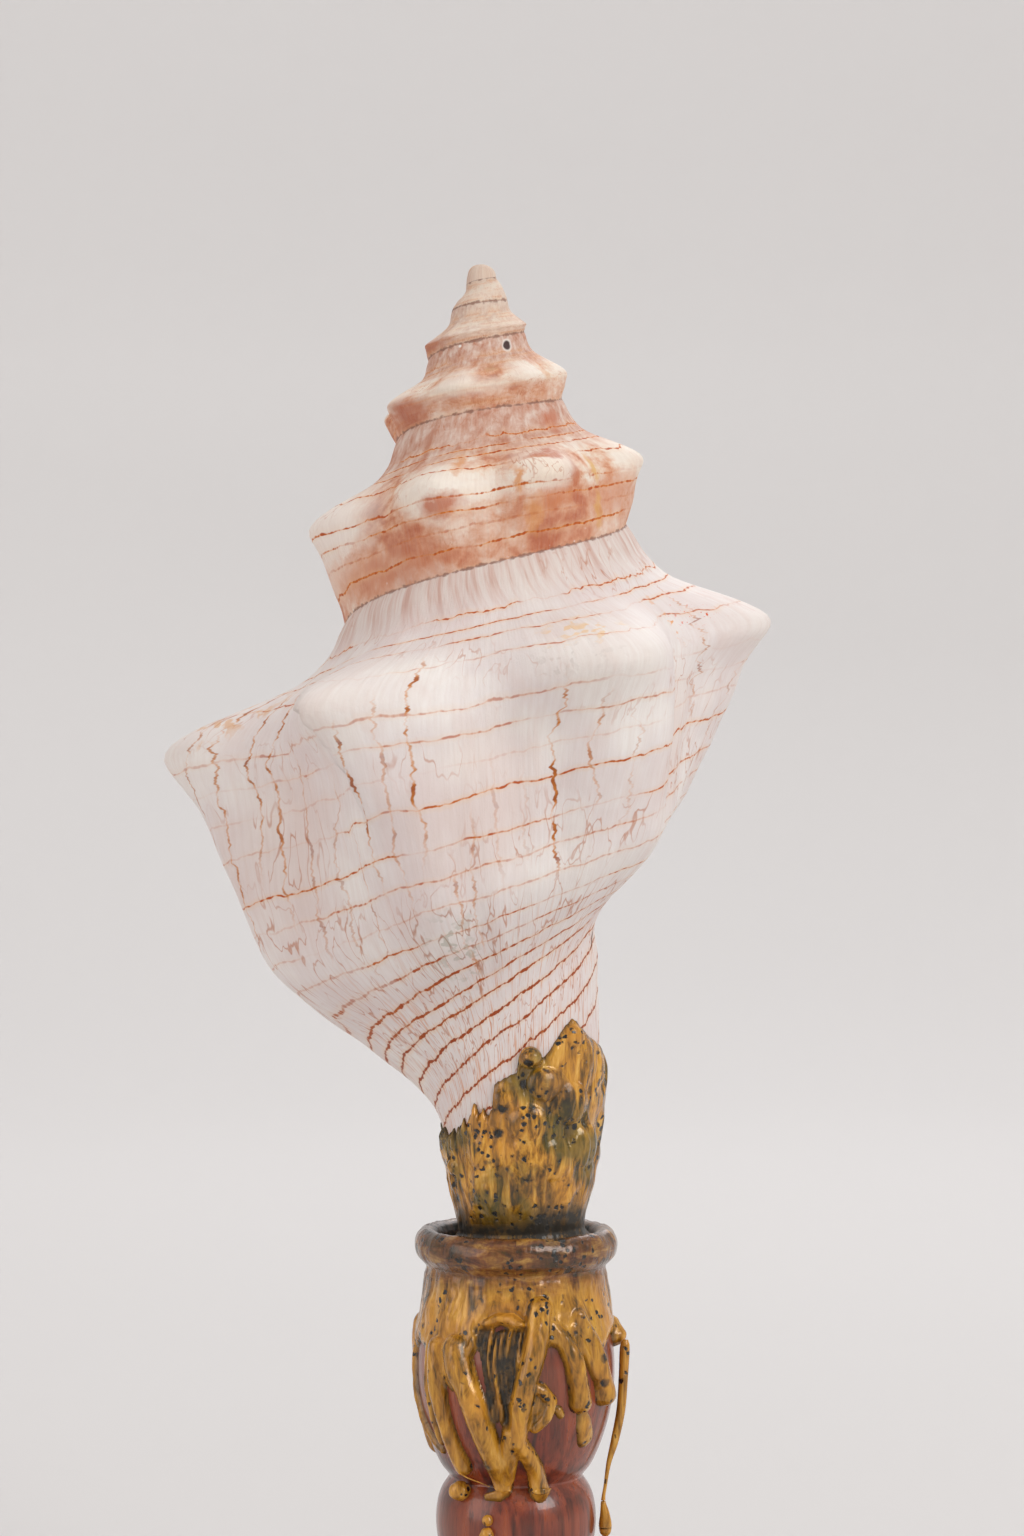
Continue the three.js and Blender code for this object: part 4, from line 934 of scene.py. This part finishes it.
# Lower edge of the unbroken resin as [angle from the front, height], and each run as how far it stands out for
# its radius and its points [angle, height, radius]. Angles grow to the left.
MASS_EDGE = [(-180, 82), (-165, 84), (-150, 80), (-135, 85), (-120, 81), (-104, 84), (-90, 82), (-75, 83.5),
             (-64, 81.5), (-52, 79), (-45, 81), (-38, 80), (-32, 81), (-27, 83.5), (-22, 83), (-17, 82), (-10, 84),
             (-4, 87), (0, 88.6), (8, 88.6), (17, 87.8), (23, 85), (27, 79), (33, 74), (40, 73.6), (46, 76),
             (56, 79), (63, 80), (68, 81), (76, 82), (84, 80), (92, 82), (104, 84), (120, 80), (135, 84),
             (150, 81), (165, 84), (180, 82)]
RUNS = [
    (1.15, [(50, 82, 2.2), (49, 74, 1.9), (46, 67.8, 1.6), (42, 62.2, 1.6), (38.5, 58.8, 1.7)]),
    (1.05, [(36, 82, 3), (31, 77, 2.8), (25, 72.4, 2.5), (19, 65.6, 2.4), (13.5, 60, 2.3), (10, 56.6, 1.9)]),
    (0.8, [(10, 56.6, 1.9), (9, 54.2, 1.5), (13, 53, 1.1), (18, 52.8, 0.8), (23, 52.6, 0.6)]),
    (0.9, [(92, 84, 1.4), (91, 78, 1.1), (86, 72, 0.9), (79, 67.5, 0.9), (69, 63.8, 0.9), (58, 61, 0.8)]),
    (0.9, [(60, 81, 1.3), (60, 74, 1.1), (59, 68, 0.9), (55, 63, 0.8)]),
    (1.9, [(27, 81.6, 0.8), (23, 84.8, 1), (17, 87.1, 1.1), (10, 88.2, 1.2), (3, 88, 1.4), (-1, 86.6, 1.7)]),
    (1.15, [(-14, 90, 2.6), (-10, 82, 2.6), (-5, 76, 2.4), (-2, 70, 2.3), (0, 64.6, 2)]),
    (1.3, [(-7, 76, 1.4), (-14, 74.6, 1.4), (-19.5, 72.4, 1.4), (-17, 69.6, 1.4), (-11, 67.4, 1.3)]),
    (0.5, [(-5, 74.5, 2.4), (-8, 71.5, 2.8), (-6, 68.5, 2)]),
    (1.1, [(2, 67, 2), (4, 62, 2), (7, 57.6, 1.8)]),
    (1.2, [(0, 64.6, 2), (-7, 61.6, 1.7), (-13, 58.8, 1.7), (-17.4, 55.4, 1.8), (-18.6, 53.6, 1.9)]),
    (1.15, [(-20, 87, 1.6), (-29, 83.6, 1.8), (-34, 80, 2), (-37, 75, 2.1), (-38.5, 71.6, 2.2)]),
    (1.6, [(-18, 84.6, 0.9), (-26, 83, 0.9), (-33, 82, 0.9)]),
    (1.1, [(-40, 88, 1.8), (-49, 82.6, 1.8), (-55, 77, 2), (-60, 72.2, 2.3)]),
    (1.4, [(-36, 86, 1), (-45, 80, 0.9), (-51, 76, 0.8)]),
    (0.35, [(-41, 70, 1.2), (-45, 67, 2), (-49, 64, 2.1)]),
    (0.8, [(-25, 70.4, 0.9), (-27, 69.4, 0.8)]),
    (1.15, [(-92, 84.5, 1.6), (-91, 82.2, 2.3)]),
]
BACK_RUNS = [-128, -155, 173, 147, 123, 104]
BACK_RUN_TOP = 84
back_draw = np.random.default_rng(7)
for centre in BACK_RUNS:
    end = back_draw.uniform(53, 66)
    lean_by = back_draw.uniform(-7, 7)
    fat = back_draw.uniform(1.5, 2.5)
    RUNS.append((0.8, [(centre + lean_by * t, BACK_RUN_TOP + (end - BACK_RUN_TOP) * t,
                        fat * (1.1 - 0.25 * math.sin(math.pi * t))) for t in (0, 0.25, 0.5, 0.75, 1)]))

APRON_WALL, APRON_ROUNDING = 1.25, 2.5
APRON_COLUMNS = 400
APRON_ROWS = 190
APRON_LOWEST = 50.5
lip_line = [(SOCKET_RADIUS + 0.1, RIM_TOP - 3), (SOCKET_RADIUS + 0.15, RIM_TOP - 1.4)]
apron_guide = np.concatenate([lip_line, cup_line])
apron_guide = apron_guide[:np.argmax(apron_guide[:, 1] < APRON_LOWEST)]
run_length = np.concatenate([[0], np.cumsum(np.linalg.norm(np.diff(apron_guide, axis=0), axis=1))])
even = np.linspace(0, run_length[-1], APRON_ROWS)
apron_guide = np.stack([np.interp(even, run_length, apron_guide[:, k]) for k in (0, 1)], 1)
smooth_guide = apron_guide.copy()
for _ in range(30):
    smooth_guide[1:-1] = (smooth_guide[:-2] + 2 * smooth_guide[1:-1] + smooth_guide[2:]) / 4
tangent = np.gradient(smooth_guide, axis=0)
outward = np.stack([-tangent[:, 1], tangent[:, 0]], 1) / np.linalg.norm(tangent, axis=1, keepdims=True)
apron_angles = -180 + np.arange(APRON_COLUMNS) * TURN / APRON_COLUMNS
heights = np.repeat(apron_guide[None, :, 1], APRON_COLUMNS, 0)
around_mm = np.repeat(np.radians(apron_angles)[:, None], APRON_ROWS, 1)
girth = np.repeat(apron_guide[None, :, 0], APRON_COLUMNS, 0)
on_side = np.arange(APRON_ROWS) > np.argmax(apron_guide[:, 1])


def run_height(points, stands):
    """Height of a round-topped run over the wood, and below zero by the distance outside it."""
    best = np.full(heights.shape, -9.0)
    points = np.array(points, float)
    for (a0, z0, r0), (a1, z1, r1) in zip(points[:-1], points[1:]):
        turn_by = np.radians((np.degrees(around_mm) - a0 + 180) % 360 - 180)
        x, y = turn_by * girth, heights - z0
        dx, dy = np.radians(a1 - a0) * girth, z1 - z0
        t = np.clip((x * dx + y * dy) / (dx * dx + dy * dy), 0, 1)
        away = np.hypot(x - dx * t, y - dy * t)
        size = r0 + (r1 - r0) * t
        bead = 1.2 * stands * np.sqrt(np.clip(size ** 2 - away ** 2, 0, None))
        best = np.maximum(best, np.where(away < size, bead, size - away))
    return np.where(on_side[None, :], best, -9.0)


mass_floor = np.interp(apron_angles, *np.array(MASS_EDGE).T)[:, None]
above = heights - mass_floor
cover = np.where(above > 0, APRON_WALL * np.sqrt(np.clip(above / APRON_ROUNDING, 0, 1)), above * 0.8)
cover = np.where(on_side[None, :], cover, 0.9)
slope_thin = between(RIM_TOP - 9, RIM_TOP - 5, heights)
cover = np.where(above > 0, cover * (1 - 0.45 * slope_thin), cover)
for stands, points in RUNS:
    grown = run_height(points, stands)
    blend_by = np.clip(0.5 + (grown - cover) / 2.4, 0, 1)
    merged = cover + (grown - cover) * blend_by + 0.6 * blend_by * (1 - blend_by)
    cover = np.where((grown > 0) & (cover > 0), np.maximum(merged, np.maximum(cover, grown)),
                     np.maximum(cover, grown))

# The rough hollow under the arched lip, between [angle, height] corners, with upright ragged grooves. Its painted
# shadow is darkest in the grooves.
hollow_angle = np.degrees(around_mm)
left_side = 14 + (heights - 67) * 0.6
right_side = 3.5 - np.clip(heights - 72, 0, None) * 0.7
in_hollow = between(right_side - 1, right_side + 1.5, hollow_angle)
in_hollow *= 1 - between(left_side - 1.5, left_side + 1, hollow_angle)
in_hollow *= between(66.5, 69, heights) * (1 - between(85.5, 87, heights))
# Painted shadow under the arched lip: the whole hollow darkens, most of all in its grooves.
hollow_painted_shadow = np.ones(heights.shape)
for i in range(APRON_COLUMNS):
    for k in range(APRON_ROWS):
        a, z = around_mm[i, k], heights[i, k]
        east, north = math.sin(a), math.cos(a)
        folds = noise.noise(Vector((east * 5 + 0.7 * math.sin(z / 4), north * 5, z / 11)))
        grain = noise.noise(Vector((east * 22, north * 22, z / 2.2)))
        if cover[i, k] > 0:
            cover[i, k] += (0.42 * folds + 0.12 * grain) * min(cover[i, k], 1)
        if in_hollow[i, k] > 0:
            strand = noise.noise(Vector((a * 26 + 0.9 * math.sin(z / 3.4), z / 14, 3.1)))
            strand += 0.4 * noise.noise(Vector((a * 60, z / 3, 7.3)))
            cover[i, k] += (0.35 + 1.5 * max(strand, -0.2) - cover[i, k]) * in_hollow[i, k]
            hollow_painted_shadow[i, k] = 1.15 - between(-0.02, 0.28, strand)
cover = np.clip(cover, -0.9, 4)
cover[:, -1] = -0.9
at_waist = np.exp(-((heights - 54.6) / 1.6) ** 2) * 1.7
standing = cover + at_waist * between(0, 0.8, cover)
apron_out = apron_guide[None] + outward[None] * standing[..., None]
apron_in = apron_guide[None, ::8] - outward[None, ::8] * 1.2
apron_in = np.repeat(apron_in, APRON_COLUMNS, 0)


def round_stand(points, angles):
    """Points [radius, height] at angles from the front, growing to the left, in the object's frame."""
    a = np.radians(angles)[:, None]
    return np.stack([-points[..., 0] * np.sin(a), -points[..., 0] * np.cos(a), points[..., 1]], -1)


apron_points, apron_faces = ring_of(round_stand(apron_out, apron_angles), round_stand(apron_in, apron_angles))
apron = put("gilded_apron_of_resin", apron_points, apron_faces, gilt, "gilded_resin", "gilded_apron")
apron_marks = np.zeros((APRON_COLUMNS, APRON_ROWS + apron_in.shape[1], 3))
apron_marks[:, :APRON_ROWS, 0] = np.clip(cover, 0, 3)
# Painted shade on the inner edge of the rim, down into the gap where the resin pools, and painted shadow in the
# hollow under the lip.
inner_rim_painted_shade = (1 - between(SOCKET_RADIUS + 0.2, SOCKET_RADIUS + 1.9, girth)) * (heights > RIM_TOP - 3.5)
apron_marks[:, :APRON_ROWS, 1] = in_hollow * hollow_painted_shadow + inner_rim_painted_shade
apron_marks[:, :APRON_ROWS, 2] = between(RIM_TOP - 13, RIM_TOP - 5.5, heights)
mark(apron, apron_marks)

# --------------------------------------------------------------------------------------------------
# Drips: one long string of resin that hangs free of the cup down its right side, and drops that set where they
# fell on the waist and the bead. They are gilded like the rest.
# --------------------------------------------------------------------------------------------------

DRIP_PATH = [(21.9, -2, 81.6, 0.5), (21.7, -2, 80, 1), (21.4, -2, 74, 0.95), (20.9, -2, 67.5, 0.9),
             (19.7, -2, 61.5, 0.8), (18.5, -2, 57, 0.5), (17.8, -2, 52.5, 0.35), (17.4, -2, 49.6, 0.45),
             (17.7, -2, 47, 0.95), (17.8, -2, 44.8, 1.3), (17.8, -2, 43.2, 1.1), (17.8, -2, 42.5, 0.6)]
THICK_RESIN = (1.5, 0, 0)


def string_of(path, sides):
    """Points and faces of a round string through [x, y, z, radius], closed at both ends."""
    line = spline(path, 12)
    points = []
    for k, (x, y, z, r) in enumerate(line):
        ahead = Vector(line[min(k + 1, len(line) - 1)][:3]) - Vector(line[max(k - 1, 0)][:3])
        turn = ahead.to_track_quat("Z", "Y")
        angles = [2 * math.pi * i / sides for i in range(sides)]
        points += [Vector((x, y, z)) + turn @ Vector((r * math.cos(a), r * math.sin(a), 0)) for a in angles]
    ends = [tuple(range(sides))[::-1], tuple((len(line) - 1) * sides + i for i in range(sides))]
    return [tuple(p) for p in points], bands(len(line), sides) + ends


def drop_of(centre, size, seed):
    """Points and faces of a slightly uneven drop: [x, y, z] and half-sizes."""
    rings, sides = 18, 28
    points = []
    for k in range(rings + 1):
        down = math.pi * k / rings
        for i in range(sides):
            a = 2 * math.pi * i / sides
            way = Vector((math.sin(down) * math.cos(a), math.sin(down) * math.sin(a), math.cos(down)))
            uneven = 1 + 0.12 * noise.noise(way * 1.4 + Vector((seed, 0, 0)))
            points.append(tuple(Vector(centre) + Vector([w * s * uneven for w, s in zip(way, size)])))
    return points, bands(rings + 1, sides, flip=True)


HAIR_PATH = [(-11.9, -13.0, 57.9, 0.16), (-9.8, -15.4, 56.9, 0.14), (-7.2, -16.6, 56.1, 0.12),
             (-5.2, -16.8, 55.3, 0.07)]
for name, path, sides, nodes in [("long_resin_drip", DRIP_PATH, 20, ["long_drip"]),
                                 ("hair_of_resin_at_the_waist", HAIR_PATH, 10, [])]:
    mark(put(name, *string_of(path, sides), gilt, "gilded_resin", *nodes), THICK_RESIN)
# Each drop as [name, CAD node, distance from the axis, angle, height, half-sizes].
DROPS = [("upper_drop_on_the_bead", "upper_bead_drop", 16.3, 20, 48.4, (1.1, 1.1, 1.1)),
         ("lower_drop_on_the_bead", "lower_bead_drop", 16.8, 20, 45.6, (1.4, 1.4, 1.5)),
         ("lump_at_the_waist", "waist_lump", 15.4, 46, 53.2, (2.1, 1.8, 2.1))]
for seed, (name, node, out, angle, height, size) in enumerate(DROPS):
    a = math.radians(angle)
    drop = put(name, *drop_of((-out * math.sin(a), -out * math.cos(a), height), size, seed * 5.1), gilt,
               "gilded_resin", node)
    weld(drop.data, 1e-7)
    mark(drop, THICK_RESIN)

# --------------------------------------------------------------------------------------------------
# Where it stands: a pale studio bowl with soft lamps, and a camera level with the middle of the shell.
# --------------------------------------------------------------------------------------------------

camera = bpy.data.objects.new("camera", bpy.data.cameras.new("camera"))
bpy.context.scene.collection.objects.link(camera)
camera.data.sensor_width = 36.0
IMAGE_HALF_HEIGHT = 0.1536
CAMERA_DISTANCE = 0.7
camera.data.lens = 18.0 * CAMERA_DISTANCE / IMAGE_HALF_HEIGHT
camera.location = (-0.0008, -CAMERA_DISTANCE, 0.1956)
camera.rotation_euler = (math.pi / 2, 0, 0)
bpy.context.scene.camera = camera

BOWL = [(0, 0), (1.0, 0), (1.45, 0.03), (1.75, 0.16), (1.92, 0.42), (2.0, 0.8), (2.0, 2.4)]
BOWL_SIDES = 96
bowl_line = spline(BOWL, 6)
bowl_turns = [2 * math.pi * i / BOWL_SIDES for i in range(BOWL_SIDES)]
bowl_mesh = bpy.data.meshes.new("studio_bowl")
bowl_mesh.from_pydata([(r * math.sin(a), r * math.cos(a), z) for r, z in bowl_line for a in bowl_turns], [],
                      bands(len(bowl_line), BOWL_SIDES))
bowl_mesh.shade_smooth()
bowl = bpy.data.objects.new("studio_bowl", bowl_mesh)
bpy.context.scene.collection.objects.link(bowl)
# Matt pale grey paper: a very faint mottle and hardly any shine, so that the light falls off softly on it.
paper, tree, shader = new_material("matt_paper")
mottle = add(tree, "TexNoise", {"Scale": 3.0, "Detail": 2.0})
tint = add(tree, "ValToRGB", {0: mottle}, stops=[(0.3, "#dad8d7"), (0.7, "#dedcdb")])
fill(shader, {"Base Color": tint, "Roughness": 0.9, "Specular IOR Level": 0.1})
bowl_mesh.materials.append(paper)

LAMPS = [("key", (0.95, -0.85, 0.85), 0.7, 8.4, "#fffefc"), ("fill", (-1.2, -0.8, 0.5), 1.0, 4.3, "#fff5f0"),
         ("back", (0.3, 1.2, 1.1), 0.8, 3.5, "#fbfbff"), ("wall", (0.0, 0.7, 1.9), 1.2, 9.0, "#fdfdff")]
for name, spot, size, power, colour in LAMPS:
    lamp = bpy.data.objects.new(name, bpy.data.lights.new(name, "AREA"))
    lamp.data.size = size
    lamp.data.energy = power
    lamp.data.color = linear(colour)[:3]
    lamp.location = spot
    aim = Vector((0, 2, 0.7)) if name == "wall" else Vector((0, 0, 0.17))
    lamp.rotation_euler = (aim - Vector(spot)).to_track_quat("-Z", "Y").to_euler()
    lamp.visible_camera = False
    bpy.context.scene.collection.objects.link(lamp)
world = bpy.data.worlds.new("studio")
bpy.context.scene.world = world
world.use_nodes = True
fill(world.node_tree.nodes["Background"], {"Color": "#f5f4f3", "Strength": 0.82})
bpy.context.scene.view_settings.view_transform = "Standard"

bpy.context.view_layer.update()
